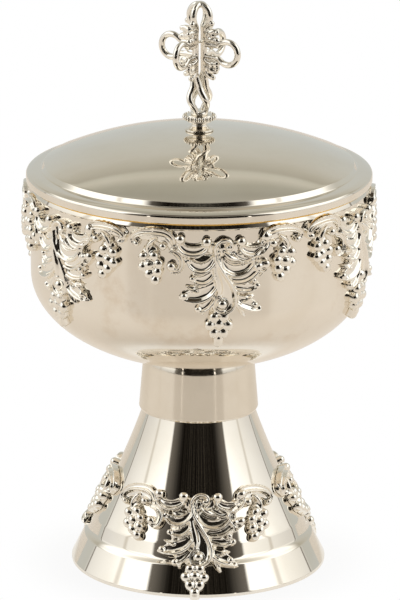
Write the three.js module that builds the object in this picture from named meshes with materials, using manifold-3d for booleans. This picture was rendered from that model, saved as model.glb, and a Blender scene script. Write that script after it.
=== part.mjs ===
// Ciborium: a lidded cup for altar breads, on a hollow spun foot, with cast vine
// ornaments soldered round the cup and the foot and an openwork cross on the lid.
// Millimetres, +Z up, origin on the floor under the middle of the foot, front towards -Y.

import * as THREE from 'three';
import { mergeVertices } from 'three/addons/utils/BufferGeometryUtils.js';
import Module from 'manifold-3d';

const wasm = await Module();
wasm.setup();

// Clearances
const seamGap = 0.3; // solder seams and pieces cut to each other
const linerGap = 0.4; // between the cup shell and the gilt liner
const lidPlay = 0.6; // between the liner and the ring that centres the lid

// Foot
const footHeight = 59.5;
const footEdgeRadius = 47.7;
const footEdgeHeight = 2;
const footEdgeRound = 0.5;
const footCreaseRadius = 42.6;
const footCreaseHeight = 11;
const footTopRadius = 20.9;
const footHollowing = 1.25; // how far the cone's side is dished inwards at its middle
const footWall = 1;
const edgeRingWidth = 2.2;
const edgeRingHeight = 2.2;

// Collar between the foot and the cup
const collarHeight = 21;
const collarLowRadius = 22.3;
const collarTopRadius = 20.9;
const collarChamfer = 1;
const collarTaper = 1; // how much the collar draws in at its top
const collarTaperHeight = 2.7;
const collarWall = 1.2;

// Cup
const cupHeight = 66.9; // from the collar to the top of the gilt rim
const bowlRadius = 62.5;
const wallFlare = 0.2; // how much wider the straight wall is at its rim
const bowlCurveHeight = 32.5; // the rounded part below the straight wall
const cupSeatInset = 0.4; // the cup's flat seat stands this far inside the collar's edge
const shellWall = 1;
const linerWall = 1;
const gildedRimHeight = 0.5;
const rimBeadReach = 0.6; // the rounded bead round the cup below the gilt rim
const rimBeadHeight = 1;

// Fastening through the foot
const studRadius = 3;
const studFlangeRadius = 8;
const studFlangeHeight = 1.7;
const footWasherRadius = 12;
const footWasherHeight = 1.2;
const footNutWidth = 10; // across the flats
const footNutHeight = 5;
const studTail = 3; // how far the stud shows below its nut

// Lid
const lidOverhang = 1.4; // how far the skirt stands out past the cup's wall
const lidSkirtHeight = 2.3;
const lidSkirtWall = 2.2;
const lidSkirtRound = 0.8; // the rounded edge between the skirt and the ledge
const lidLedgeWidth = 4.8; // the almost flat ledge inside the skirt
const lidLedgeRise = 1.3;
const lidCoveWidth = 1.2; // the hollow moulding between the ledge and the dome
const lidCoveHeight = 1.9;
const domeRise = 12.2;
const lidWall = 1.2;
const lidCeiling = 2.4; // height of the ledge inside the lid above its lower edge
const centringRingWall = 1.2;
const centringRingDepth = 5.5; // how far the ring hangs below the lid's lower edge

// Finial
const finialStudRadius = 1.5;
const finialWasherRadius = 6;
const finialWasherHeight = 1;
const finialNutWidth = 7;
const finialNutHeight = 3.2;
const spoolFootRadius = 5.3;
const spoolFootHeight = 1;
const spoolNeckRadius = 2.7;
const spoolTopRadius = 4.4;
const spoolHeight = 4.2;
const beadRingHeight = 1.8;
const beadRingRadius = 5.75; // to the middles of the beads
const beadRadius = 0.8;
const beadCount = 22;
const bulbSeatRadius = 3.2;
const bulbSeatHeight = 2.2;
const bulbHeight = 13.5; // the twisted part, from its seat to the plain rods
const bulbRadius = 3.25; // to the middle of its rods at the widest
const bulbTwist = 100; // degrees
const bulbSwellHeight = 9.3; // the part of it that swells out
const wireRadius = 0.9; // the cast rods of the bulb and of the cross
const crossHeight = 43; // from the beaded ring's top to the top of the cross
const crossArmHeight = 24.5; // from the beaded ring's top to the middle of the arms
const crossRodOffset = 2.25; // from the middle of an arm to each of its rods
const crossLoopRadius = 4.4;
const crossArmReach = 12.1; // from the axis to the middle of an arm's loop
const crossTurn = -32; // degrees, the turn of the first pair of arms
const sprigLoopWidth = 4.8; // from the cross's rods to the far side of a sprig's loop
const sprigTwigLength = 4.1;
const sprigBerryRadius = 1.4;
const sprigKnobRadius = 0.8;
const sprigWireRadius = 0.55;

// Castings
const cupCastings = 6;
const footCastings = 3;
const castingHeight = 43.5;
const castingJointGap = 0.5; // between neighbours round the cup
const castingRimGap = 1.8; // between the castings and the gilt rim's top
const castingFloorGap = 0.8; // between the castings and the floor
const castingRelief = 3.4;
const castingBendSpan = 3; // the direction of the surface behind is taken over this length each way
const cupCastingTurn = 6.5; // degrees, the turn of the front casting
const footCastingTurn = -1.5;
const footCastingSeam = 0.5; // wider than on the cup, because the cone is more sharply curved
const footCastingDroop = 4.6; // how much lower the ends of a casting lie on the cone

// Roundness of the solids
const roundSteps = 36;
const smallRoundSteps = 12;
const bowlSteps = 6;
const domeSteps = 5;
const coneSteps = 4;
const crossSteps = 46;
const weldDistance = 1e-4;

// Places that follow from the sizes
const rimRadius = bowlRadius + wallFlare;
const cupSeatZ = footHeight + collarHeight;
const gildedRimTopZ = cupSeatZ + cupHeight;
const shellTopZ = gildedRimTopZ - gildedRimHeight;
const bowlCentreZ = cupSeatZ + bowlCurveHeight;
const cupSeatRadius = collarTopRadius - collarTaper - cupSeatInset;
const linerFloorZ = cupSeatZ + shellWall + studFlangeHeight;
const linerRadius = bowlRadius - shellWall - linerGap;
const linerMouthRadius = rimRadius - shellWall - linerGap - linerWall;
const studHoleRadius = studRadius + seamGap;
const footWebZ = footHeight - footWall;
const lidSeatZ = gildedRimTopZ + seamGap;
const lidSkirtRadius = rimRadius + lidOverhang;
const domeRadius = lidSkirtRadius - lidSkirtRound - lidLedgeWidth - lidCoveWidth;
const domeEdgeZ = lidSeatZ + lidSkirtHeight + lidSkirtRound + lidLedgeRise + lidCoveHeight;
const domeTopZ = domeEdgeZ + domeRise;
const beadRingSeatZ = domeTopZ + spoolHeight;
const crossSeatZ = beadRingSeatZ + beadRingHeight;
const finialHoleRadius = finialStudRadius + seamGap;

const silver = { color: 0xc9c2b4, roughness: 0.12, metalness: 1 };
const satinSilver = { color: 0xc2b9a6, roughness: 0.3, metalness: 1 };
const castSilver = { color: 0xd2cabb, roughness: 0.2, metalness: 1 };
const gilt = { color: 0xd9a441, roughness: 0.2, metalness: 1 };
const steel = { color: 0x9a9a98, roughness: 0.4, metalness: 1 };

// Closed meshes

function weld(geometry) {
  geometry.deleteAttribute('normal');
  geometry.deleteAttribute('uv');
  const merged = mergeVertices(geometry, weldDistance);
  const corners = merged.index.array;
  const kept = [];
  for (let i = 0; i < corners.length; i += 3) {
    const [a, b, c] = [corners[i], corners[i + 1], corners[i + 2]];
    if (a !== b && b !== c && c !== a) kept.push(a, b, c);
  }
  merged.setIndex(kept);
  return merged;
}

function signedVolume(geometry) {
  const position = geometry.attributes.position;
  const corners = geometry.index.array;
  const [a, b, c] = [new THREE.Vector3(), new THREE.Vector3(), new THREE.Vector3()];
  let volume = 0;
  for (let i = 0; i < corners.length; i += 3) {
    a.fromBufferAttribute(position, corners[i]);
    b.fromBufferAttribute(position, corners[i + 1]);
    c.fromBufferAttribute(position, corners[i + 2]);
    volume += a.dot(b.cross(c)) / 6;
  }
  return volume;
}

// Welds a geometry and turns its faces outwards.
function closed(geometry) {
  const welded = weld(geometry);
  if (signedVolume(welded) < 0) welded.setIndex(Array.from(welded.index.array).reverse());
  return welded;
}

// One solid from several closed geometries that run into each other.
function join(geometries) {
  const solids = geometries.map((geometry) => {
    const vertProperties = Float32Array.from(geometry.attributes.position.array);
    const triVerts = Uint32Array.from(geometry.index.array);
    return new wasm.Manifold(new wasm.Mesh({ numProp: 3, vertProperties, triVerts }));
  });
  const mesh = solids.reduce((whole, solid) => whole.add(solid)).getMesh();
  const joined = new THREE.BufferGeometry();
  joined.setAttribute('position', new THREE.BufferAttribute(Float32Array.from(mesh.vertProperties), 3));
  joined.setIndex(Array.from(mesh.triVerts));
  return joined;
}

// Turned and spun pieces: a profile of [radius, height] points revolved about Z.
function turned(profile, steps = roundSteps) {
  const points = profile.map(([radius, height]) => new THREE.Vector2(radius, height));
  if (profile[0][0] > 0) points.push(points[0].clone());
  const geometry = new THREE.LatheGeometry(points, steps);
  geometry.rotateX(Math.PI / 2);
  return closed(geometry);
}

// The points of a profile moved to its left, square to its direction.
function inset(profile, distance) {
  return profile.map((point, i) => {
    const before = profile[Math.max(i - 1, 0)];
    const after = profile[Math.min(i + 1, profile.length - 1)];
    const [dr, dz] = [after[0] - before[0], after[1] - before[1]];
    const length = Math.hypot(dr, dz);
    return [point[0] - (distance * dz) / length, point[1] + (distance * dr) / length];
  });
}

function hexNut(width, height, holeRadius, baseZ) {
  const outline = new THREE.Shape();
  for (let i = 0; i < 6; i += 1) {
    const angle = (i * Math.PI) / 3;
    const reach = width / Math.sqrt(3);
    if (i === 0) outline.moveTo(reach, 0);
    else outline.lineTo(reach * Math.cos(angle), reach * Math.sin(angle));
  }
  outline.closePath();
  const hole = new THREE.Path();
  hole.absarc(0, 0, holeRadius, 0, 2 * Math.PI, true);
  outline.holes.push(hole);
  const settings = { depth: height, bevelEnabled: false, curveSegments: smallRoundSteps / 2 };
  const geometry = new THREE.ExtrudeGeometry(outline, settings);
  geometry.translate(0, 0, baseZ);
  return closed(geometry);
}

function washer(radius, height, holeRadius, topZ) {
  const baseZ = topZ - height;
  const profile = [[holeRadius, baseZ], [radius, baseZ], [radius, topZ], [holeRadius, topZ]];
  return turned(profile, smallRoundSteps);
}

// Foot: an edge, a flared band up to a crease, then a slightly dished cone.
function footSide() {
  const points = [
    [footEdgeRadius - footEdgeRound, 0],
    [footEdgeRadius, footEdgeRound],
    [footEdgeRadius - footEdgeRound, footEdgeHeight],
    [footCreaseRadius, footCreaseHeight],
  ];
  for (let i = 1; i <= coneSteps; i += 1) {
    const part = i / coneSteps;
    const straight = footCreaseRadius + part * (footTopRadius - footCreaseRadius);
    const dish = 4 * footHollowing * part * (1 - part);
    const height = footCreaseHeight + part * (footHeight - footCreaseHeight);
    points.push([straight - dish, height]);
  }
  return points;
}

function footCone() {
  const outside = footSide();
  const inside = inset(outside, footWall);
  inside[0] = [footEdgeRadius - footEdgeRound - footWall, 0];
  inside[1] = [inside[0][0], footEdgeRound];
  const last = inside.length - 1;
  inside[last] = [inside[last][0] + (footWall * (footCreaseRadius - footTopRadius)) / footHeight, footWebZ];
  const web = [[studHoleRadius, footHeight], [studHoleRadius, footWebZ]];
  return turned([...outside, ...web, ...inside.reverse()]);
}

function footEdgeRing() {
  const outside = footEdgeRadius - footEdgeRound - footWall - 2 * seamGap;
  const inside = outside - edgeRingWidth;
  return turned([[inside, 0], [outside, 0], [outside - seamGap, edgeRingHeight], [inside, edgeRingHeight]]);
}

function collar() {
  const low = footHeight;
  const side = [
    [collarLowRadius - collarChamfer, low],
    [collarLowRadius, low + 2 * collarChamfer],
    [collarTopRadius, cupSeatZ - collarTaperHeight],
    [collarTopRadius - collarTaper, cupSeatZ],
  ];
  const hollow = [
    [collarTopRadius - collarTaper - collarWall, cupSeatZ],
    [collarTopRadius - collarWall, cupSeatZ - collarTaperHeight],
    [collarLowRadius - collarWall, low + 2 * collarChamfer],
    [collarLowRadius - collarChamfer - collarWall, low],
  ];
  return turned([...side, ...hollow]);
}

// Bowl: part of an ellipse from a flat seat up to the straight wall.
function bowlSide(seatRadius, seatZ, radius, mouthRadius, mouthZ) {
  const start = Math.asin(seatRadius / radius);
  const depth = (bowlCentreZ - seatZ) / Math.cos(start);
  const points = [];
  for (let i = 0; i <= bowlSteps; i += 1) {
    const angle = start + (i / bowlSteps) * (Math.PI / 2 - start);
    points.push([radius * Math.sin(angle), bowlCentreZ - depth * Math.cos(angle)]);
  }
  points.push([mouthRadius, mouthZ]);
  return points;
}

function cupSide() {
  return bowlSide(cupSeatRadius, cupSeatZ, bowlRadius, rimRadius, shellTopZ);
}

function cupShell() {
  const outside = cupSide();
  const inside = inset(outside, shellWall);
  const webTop = cupSeatZ + shellWall;
  inside[0] = [cupSeatRadius, webTop];
  inside[inside.length - 1] = [rimRadius - shellWall, shellTopZ];
  outside[outside.length - 1] = [rimRadius, shellTopZ - rimBeadHeight];
  const bead = [
    [rimRadius + rimBeadReach, shellTopZ - 0.7 * rimBeadHeight],
    [rimRadius + rimBeadReach, shellTopZ - 0.3 * rimBeadHeight],
    [rimRadius, shellTopZ],
  ];
  const seat = [studHoleRadius, cupSeatZ];
  return turned([seat, ...outside, ...bead, ...inside.reverse(), [studHoleRadius, webTop]]);
}

function cupLiner() {
  const mouth = linerMouthRadius + linerWall;
  const outside = bowlSide(studFlangeRadius, linerFloorZ, linerRadius, mouth, shellTopZ);
  const inside = inset(outside, linerWall);
  inside[0] = [studFlangeRadius, linerFloorZ + linerWall];
  inside[inside.length - 1] = [linerMouthRadius, gildedRimTopZ];
  const rim = [[rimRadius, shellTopZ], [rimRadius, gildedRimTopZ]];
  const floor = [0, linerFloorZ];
  const floorTop = [0, linerFloorZ + linerWall];
  return turned([floor, ...outside, ...rim, ...inside.reverse(), floorTop]);
}

function tieStud() {
  const flangeZ = cupSeatZ + shellWall;
  const tailZ = footWebZ - footWasherHeight - footNutHeight - studTail;
  return turned(
    [
      [0, tailZ],
      [studRadius, tailZ],
      [studRadius, flangeZ],
      [studFlangeRadius, flangeZ],
      [studFlangeRadius, linerFloorZ],
      [0, linerFloorZ],
    ],
    smallRoundSteps,
  );
}

// Lid: an upright skirt, an almost flat ledge, a hollow moulding and a shallow dome.
function domeSide(edgeRadius, edgeZ, topZ, holeRadius) {
  const rise = topZ - edgeZ;
  const radius = (edgeRadius ** 2 + rise ** 2) / (2 * rise);
  const points = [];
  for (let i = 0; i <= domeSteps; i += 1) {
    const r = edgeRadius + (i / domeSteps) * (holeRadius - edgeRadius);
    points.push([r, topZ - radius + Math.sqrt(radius ** 2 - r ** 2)]);
  }
  return points;
}

function lidDome() {
  const skirtTopZ = lidSeatZ + lidSkirtHeight;
  const ledgeZ = skirtTopZ + lidSkirtRound;
  const coveZ = ledgeZ + lidLedgeRise;
  const skirt = [
    [lidSkirtRadius, lidSeatZ],
    [lidSkirtRadius, skirtTopZ],
    [lidSkirtRadius - 0.3 * lidSkirtRound, ledgeZ - 0.3 * lidSkirtRound],
    [lidSkirtRadius - lidSkirtRound, ledgeZ],
  ];
  const cove = [
    [domeRadius + lidCoveWidth, coveZ],
    [domeRadius + 0.45 * lidCoveWidth, coveZ + 0.3 * lidCoveHeight],
  ];
  const ceilingZ = lidSeatZ + lidCeiling;
  const hollow = [
    [domeRadius, ceilingZ],
    [lidSkirtRadius - lidSkirtWall, ceilingZ],
    [lidSkirtRadius - lidSkirtWall, lidSeatZ],
  ];
  const dome = (wall) => domeSide(domeRadius - wall, domeEdgeZ - wall, domeTopZ - wall, finialHoleRadius);
  const outside = [...skirt, ...cove, ...dome(0)];
  return turned([...outside, ...dome(lidWall).reverse(), ...hollow]);
}

function lidCentringRing() {
  const outside = linerMouthRadius - lidPlay;
  const inside = outside - centringRingWall;
  const low = lidSeatZ - centringRingDepth;
  const high = lidSeatZ + lidCeiling;
  return turned([[inside, low], [outside, low], [outside, high], [inside, high]]);
}

// Finial
function finialSpool() {
  const hole = finialHoleRadius;
  const z = domeTopZ;
  return turned(
    [
      [hole, z],
      [spoolFootRadius, z],
      [spoolFootRadius, z + spoolFootHeight / 2],
      [(spoolFootRadius + spoolNeckRadius) / 2, z + spoolFootHeight],
      [spoolNeckRadius, z + spoolHeight / 2],
      [spoolNeckRadius, z + 0.8 * spoolHeight],
      [spoolTopRadius, beadRingSeatZ],
      [hole, beadRingSeatZ],
    ],
    smallRoundSteps,
  );
}

// The ring's edge is scalloped into beads: two steps of the turning for each bead.
function finialBeadedRing() {
  const low = beadRingSeatZ;
  const middle = low + beadRingHeight / 2;
  const valley = beadRingRadius - beadRadius / 2;
  const profile = [
    [finialHoleRadius, low],
    [valley, low],
    [valley + beadRadius / 2, middle - beadRadius / 2],
    [valley + beadRadius / 2, middle + beadRadius / 2],
    [valley, crossSeatZ],
    [finialHoleRadius, crossSeatZ],
  ];
  const ring = turned(profile, 2 * beadCount);
  const position = ring.attributes.position;
  for (let i = 0; i < position.count; i += 1) {
    const [x, y] = [position.getX(i), position.getY(i)];
    const swell = Math.hypot(x, y) > valley + beadRadius / 4 ? 1 : 0;
    const crest = (1 - Math.cos(beadCount * Math.atan2(y, x))) / 2;
    const factor = 1 + (swell * crest * beadRadius * 0.7) / beadRingRadius;
    position.setXY(i, x * factor, y * factor);
  }
  return ring;
}

// A round cast rod along a curve through the given points.
function rod(points, radius, sides, steps, smooth = true) {
  const outline = new THREE.Shape();
  for (let i = 0; i < sides; i += 1) {
    const angle = (2 * Math.PI * i) / sides;
    if (i === 0) outline.moveTo(radius, 0);
    else outline.lineTo(radius * Math.cos(angle), radius * Math.sin(angle));
  }
  outline.closePath();
  const path = new THREE.CatmullRomCurve3(points, false, smooth ? 'centripetal' : 'catmullrom', 0.1);
  return closed(new THREE.ExtrudeGeometry(outline, { steps, extrudePath: path, bevelEnabled: false }));
}

// One flat outline of the cross: up one side, round three loops and down the other side.
function crossOutline() {
  const gap = crossRodOffset;
  const armZ = crossSeatZ + crossArmHeight;
  const topZ = crossSeatZ + crossHeight - wireRadius - crossLoopRadius;
  const entry = Math.asin(gap / crossLoopRadius);
  const loopSteps = 6;
  const loop = (x, z, heading) => {
    const points = [];
    for (let i = 0; i <= loopSteps; i += 1) {
      const angle = heading + Math.PI + entry + (i / loopSteps) * 2 * (Math.PI - entry);
      points.push([x + crossLoopRadius * Math.cos(angle), z + crossLoopRadius * Math.sin(angle)]);
    }
    return points;
  };
  const footZ = crossSeatZ + bulbSeatHeight + bulbHeight - wireRadius;
  return [
    [gap, footZ],
    [gap, armZ - 2 * gap],
    [gap, armZ - gap],
    ...loop(crossArmReach, armZ, 0),
    [gap, armZ + gap],
    [gap, armZ + 2 * gap],
    ...loop(0, topZ, Math.PI / 2),
    [-gap, armZ + 2 * gap],
    [-gap, armZ + gap],
    ...loop(-crossArmReach, armZ, Math.PI),
    [-gap, armZ - gap],
    [-gap, armZ - 2 * gap],
    [-gap, footZ],
  ];
}

function bulbRod(turn) {
  const seat = crossSeatZ + bulbSeatHeight - wireRadius;
  const steps = 6;
  const points = [];
  for (let i = 0; i <= steps; i += 1) {
    const part = i / steps;
    const swell = Math.sin(Math.PI * Math.min(1, (part * bulbHeight) / bulbSwellHeight)) ** 2;
    const radius = crossRodOffset + (bulbRadius - crossRodOffset) * swell;
    const angle = THREE.MathUtils.degToRad(turn + bulbTwist * (1 - part));
    const z = seat + part * (bulbHeight + wireRadius / 2);
    points.push(new THREE.Vector3(radius * Math.cos(angle), radius * Math.sin(angle), z));
  }
  return rod(points, wireRadius, 4, steps);
}

// A sprig in the angle of two arms: a loop of thin wire from the shaft to the arm, with a berry
// on it and a twig that ends in a knob.
function sprig(turn, up) {
  const armZ = crossSeatZ + crossArmHeight;
  const angle = THREE.MathUtils.degToRad(turn);
  const place = (out, rise) => {
    const x = crossRodOffset + out * sprigLoopWidth;
    const z = crossRodOffset + rise * sprigLoopWidth;
    return new THREE.Vector3(x * Math.cos(angle), x * Math.sin(angle), armZ + up * z);
  };
  const loop = [place(0, 0.75), place(0.4, 1.15), place(0.9, 0.9), place(1, 0.4), place(0.75, 0)];
  const slope = sprigTwigLength / Math.SQRT2 / sprigLoopWidth;
  const tip = place(0.9 + slope, 0.9 + slope);
  const ball = (radius, spot) => closed(new THREE.OctahedronGeometry(radius, 0).translate(...spot));
  return [
    rod(loop, sprigWireRadius, 3, 5),
    rod([place(0.9, 0.9), tip], sprigWireRadius, 3, 1),
    ball(sprigBerryRadius, place(1, 0.4)),
    ball(sprigKnobRadius, tip),
  ];
}

function finialCross() {
  const bore = crossSeatZ + bulbSeatHeight / 2;
  const seatTop = crossSeatZ + bulbSeatHeight;
  const seat = [
    [0, bore],
    [finialHoleRadius, bore],
    [finialHoleRadius, crossSeatZ],
    [bulbSeatRadius, crossSeatZ],
    [bulbSeatRadius, seatTop - wireRadius],
    [crossRodOffset, seatTop],
    [0, seatTop],
  ];
  const pieces = [turned(seat, smallRoundSteps)];
  for (let i = 0; i < 4; i += 1) {
    const turn = crossTurn + 90 * i;
    pieces.push(bulbRod(turn), ...sprig(turn, 1), ...sprig(turn, -1));
  }
  for (const turn of [crossTurn, crossTurn + 90]) {
    const angle = THREE.MathUtils.degToRad(turn);
    const place = ([x, z]) => new THREE.Vector3(x * Math.cos(angle), x * Math.sin(angle), z);
    const points = crossOutline().map(place);
    pieces.push(rod(points, wireRadius, 4, crossSteps, false));
  }
  return join(pieces);
}

function finialStud() {
  const washerTop = domeTopZ - lidWall - seamGap;
  const low = washerTop - finialWasherHeight - finialNutHeight - finialWasherHeight;
  const high = crossSeatZ + bulbSeatHeight / 2 - seamGap;
  const profile = [[0, low], [finialStudRadius, low], [finialStudRadius, high], [0, high]];
  return turned(profile, smallRoundSteps);
}

// Castings: one vine ornament, drawn flat as across, up and out, then bent onto its piece.
// The drawing has its own units, and is scaled to the casting's width, height and relief.

// A closed body through rings of equal numbers of corners, with flat ends.
function ringed(rings) {
  const corners = rings[0].length;
  const index = [];
  for (let i = 0; i + 1 < rings.length; i += 1) {
    for (let k = 0; k < corners; k += 1) {
      const next = (k + 1) % corners;
      const [a, b] = [i * corners + k, i * corners + next];
      const [c, d] = [a + corners, b + corners];
      index.push(a, b, d, a, d, c);
    }
  }
  const last = (rings.length - 1) * corners;
  for (let k = 1; k + 1 < corners; k += 1) index.push(0, k + 1, k, last, last + k, last + k + 1);
  return faceted(rings.flat(), index);
}

function faceted(points, index) {
  const geometry = new THREE.BufferGeometry();
  geometry.setAttribute('position', new THREE.Float32BufferAttribute(points.flat(), 3));
  geometry.setIndex(index);
  return closed(geometry);
}

// A strip along a drawn curve, with a flat back and a bevelled ridge.
function strip(points, width, rise, steps, taper) {
  const curve = new THREE.CatmullRomCurve3(points.map(([across, up]) => new THREE.Vector3(across, up, 0)));
  const rings = [];
  for (let i = 0; i <= steps; i += 1) {
    const part = i / steps;
    const spot = curve.getPoint(part);
    const way = curve.getTangent(part);
    const half = (width / 2) * taper(part);
    const section = [[-1, 0], [1, 0], [0.5, 1], [-0.5, 1]];
    const [dx, dy] = [half * way.y, -half * way.x];
    rings.push(section.map(([side, lift]) => [spot.x + side * dx, spot.y + side * dy, lift * rise]));
  }
  return ringed(rings);
}

// A scroll that swells in the middle and again into a knob at each end.
const knobbed = (part) => 0.72 + 0.28 * Math.cos(4 * Math.PI * part);
const stemTaper = (part) => 0.6 + 0.4 * Math.sin(Math.PI * part);

// A C-shaped scroll that opens upwards.
function openScroll(across, up) {
  const radius = 5.1;
  const points = [];
  for (const degrees of [160, 200, 235, 270, 305, 340, 380]) {
    const angle = THREE.MathUtils.degToRad(degrees);
    points.push([across + radius * Math.cos(angle), up + radius * Math.sin(angle)]);
  }
  return strip(points, 3.8, 2.8, 6, knobbed);
}

function centreStem() {
  const points = [
    [2.8, 36.9], [1.8, 39.6], [-0.8, 38.6], [-1, 34.5], [0.2, 30], [2.6, 26],
    [4.6, 22], [5, 17.5], [3.2, 13.8], [-0.2, 13.6], [-1.4, 16.4], [1, 17.2],
  ];
  return strip(points, 2.8, 3.3, 11, stemTaper);
}

// The vine leaf behind the stem: lobes to both sides of a raised vein, with low notches between.
function leaf() {
  const vein = [[-1, 36], [0.2, 30.4], [2.6, 26], [4.4, 20.5], [3, 14.5], [0, 10.6]];
  const tips = {
    left: [[-11, 33.2], [-10.6, 26.2], [-13.2, 17.4], [-7.6, 14.2]],
    right: [[11, 32.4], [15.4, 27], [14.6, 19.6], [15, 12.2]],
  };
  const notches = {
    left: [[-5, 36.8], [-5.4, 29.6], [-5, 23.4], [-4.6, 16.8], [-4.4, 12]],
    right: [[5.4, 36.8], [8, 29.4], [8.6, 23], [9, 17], [6.4, 11.4]],
  };
  const veinRise = 2.4;
  const lobeRise = 2.8;
  const points = vein.map(([across, up]) => [across, up, veinRise]);
  points[0][2] = 0;
  points[vein.length - 1][2] = 0;
  const index = [];
  const rims = {};
  for (const side of ['left', 'right']) {
    const first = points.length;
    points.push(...notches[side].map((spot) => [...spot, 0]), ...tips[side].map((spot) => [...spot, 0]));
    const rim = [];
    tips[side].forEach((tip, i) => {
      const near = vein[i + 1];
      const ridge = points.length;
      points.push([(tip[0] + near[0]) / 2, (tip[1] + near[1]) / 2, lobeRise]);
      const atTheEnd = i === tips[side].length - 1;
      const back = atTheEnd ? [i + 2, i + 1] : [i + 1];
      const fan = [i, first + i, first + notches[side].length + i, first + i + 1, ...back];
      rim.push(first + i, first + notches[side].length + i);
      fan.forEach((corner, k) => {
        const next = fan[(k + 1) % fan.length];
        index.push(...(side === 'left' ? [ridge, corner, next] : [ridge, next, corner]));
      });
    });
    rim.push(first + tips[side].length);
    rims[side] = rim;
  }
  const outline = [0, ...rims.left, vein.length - 1, ...rims.right.reverse()];
  const flat = outline.map((corner) => new THREE.Vector2(points[corner][0], points[corner][1]));
  for (const [a, b, c] of THREE.ShapeUtils.triangulateShape(flat, [])) {
    index.push(outline[a], outline[c], outline[b]);
  }
  return faceted(points, index);
}

// A bunch of grapes as a honeycomb of peaks in rows of two, three, two and one.
function bunch(across, up) {
  const spacing = 3.9;
  const cornerRadius = spacing / Math.sqrt(3);
  const peak = 3.2;
  const valley = 1.1;
  const cells = [];
  [2, 3, 2, 1].forEach((count, row) => {
    for (let i = 0; i < count; i += 1) {
      cells.push([across + (i - (count - 1) / 2) * spacing, up - 1.5 * cornerRadius * row]);
    }
  });
  const corner = ([x, y], k) => {
    const angle = ((30 + 60 * k) * Math.PI) / 180;
    return [x + cornerRadius * Math.cos(angle), y + cornerRadius * Math.sin(angle)];
  };
  const touches = ([x, y]) => (cell) => Math.hypot(cell[0] - x, cell[1] - y) < 1.01 * cornerRadius;
  const isInner = (spot) => cells.filter(touches(spot)).length === 3;
  const points = [];
  const index = [];
  for (const cell of cells) {
    const base = points.length;
    const corners = [0, 1, 2, 3, 4, 5].map((k) => corner(cell, k));
    points.push([...cell, peak]);
    points.push(...corners.map((spot) => [...spot, isInner(spot) ? valley : 0]));
    points.push(...corners.map((spot) => [...spot, 0]));
    for (let k = 0; k < 6; k += 1) index.push(base, base + 1 + k, base + 1 + ((k + 1) % 6));
    for (let k = 1; k < 5; k += 1) index.push(base + 7, base + 8 + k, base + 7 + k);
  }
  return faceted(points, index);
}

// One end of the casting: an arched scroll, a small scroll and a bunch of grapes.
function wing(side) {
  const at = (points) => points.map(([across, up]) => [side * across, up]);
  const arch = at([[21, 36], [17.8, 37.4], [18.6, 41], [23.4, 42.4], [28.4, 41.6], [32.4, 38.4]]);
  const curl = at([[17.4, 38.4], [14.2, 35.2], [13, 31.4], [15, 28], [18, 29.6]]);
  const stalk = at([[24, 41.4], [25.8, 37.6], [25.2, 33.6]]);
  return [
    strip(arch, 3.6, 2.8, 5, stemTaper),
    strip(curl, 3.2, 2.6, 4, stemTaper),
    strip(stalk, 2.6, 2.2, 2, stemTaper),
    bunch(side * 25.2, 33.4),
  ];
}

function drawnCasting() {
  return join([
    leaf(),
    centreStem(),
    openScroll(-9.6, 39.2),
    openScroll(10.4, 39),
    bunch(0, 12.4),
    ...wing(-1),
    ...wing(1),
  ]);
}

// A point of a side profile at a length along it, measured from its low end.
function alongSide(side, length) {
  let left = length;
  for (let i = 0; i + 1 < side.length; i += 1) {
    const [from, to] = [side[i], side[i + 1]];
    const run = Math.hypot(to[0] - from[0], to[1] - from[1]);
    if (left <= run || i + 2 === side.length) {
      const part = left / run;
      return new THREE.Vector2(from[0] + part * (to[0] - from[0]), from[1] + part * (to[1] - from[1]));
    }
    left -= run;
  }
  return null;
}

// Bends the flat casting onto a side profile, with its lowest grape at a length along it.
function bent(drawing, side, start, width, seam, droop) {
  const geometry = drawing.clone();
  geometry.computeBoundingBox();
  const { min, max } = geometry.boundingBox;
  const middle = (min.x + max.x) / 2;
  const position = geometry.attributes.position;
  for (let i = 0; i < position.count; i += 1) {
    const across = ((position.getX(i) - middle) * width) / (max.x - min.x);
    const sag = droop * ((2 * across) / width) ** 2;
    const length = start + ((position.getY(i) - min.y) * castingHeight) / (max.y - min.y) - sag;
    const out = seam + (position.getZ(i) * castingRelief) / max.z;
    const spot = alongSide(side, length);
    const below = alongSide(side, length - castingBendSpan);
    const above = alongSide(side, length + castingBendSpan);
    const way = above.sub(below).normalize();
    const angle = across / (spot.x + castingRelief / 2);
    const radius = spot.x + out * way.y;
    position.setXYZ(i, radius * Math.sin(angle), -radius * Math.cos(angle), spot.y - out * way.x);
  }
  return closed(geometry);
}

// Assembly

const ciborium = new THREE.Group();
ciborium.name = 'ciborium';

function addPiece(name, geometry, finish, turn = 0) {
  const flat = geometry.toNonIndexed();
  flat.computeVertexNormals();
  const mesh = new THREE.Mesh(flat, new THREE.MeshStandardMaterial(finish));
  mesh.name = name;
  mesh.rotation.z = THREE.MathUtils.degToRad(turn);
  ciborium.add(mesh);
}

const footWasherTopZ = footWebZ;
const footNutZ = footWasherTopZ - footWasherHeight - footNutHeight;
const finialWasherTopZ = domeTopZ - lidWall - seamGap;
const finialNutZ = finialWasherTopZ - finialWasherHeight - finialNutHeight;

addPiece('foot_cone', footCone(), silver);
addPiece('foot_edge_ring', footEdgeRing(), silver);
addPiece('stem_collar', collar(), satinSilver);
addPiece('cup_shell', cupShell(), silver);
addPiece('cup_liner', cupLiner(), gilt);
addPiece('tie_stud', tieStud(), steel);
addPiece('foot_washer', washer(footWasherRadius, footWasherHeight, studHoleRadius, footWasherTopZ), steel);
addPiece('foot_nut', hexNut(footNutWidth, footNutHeight, studHoleRadius, footNutZ), steel);

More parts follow.
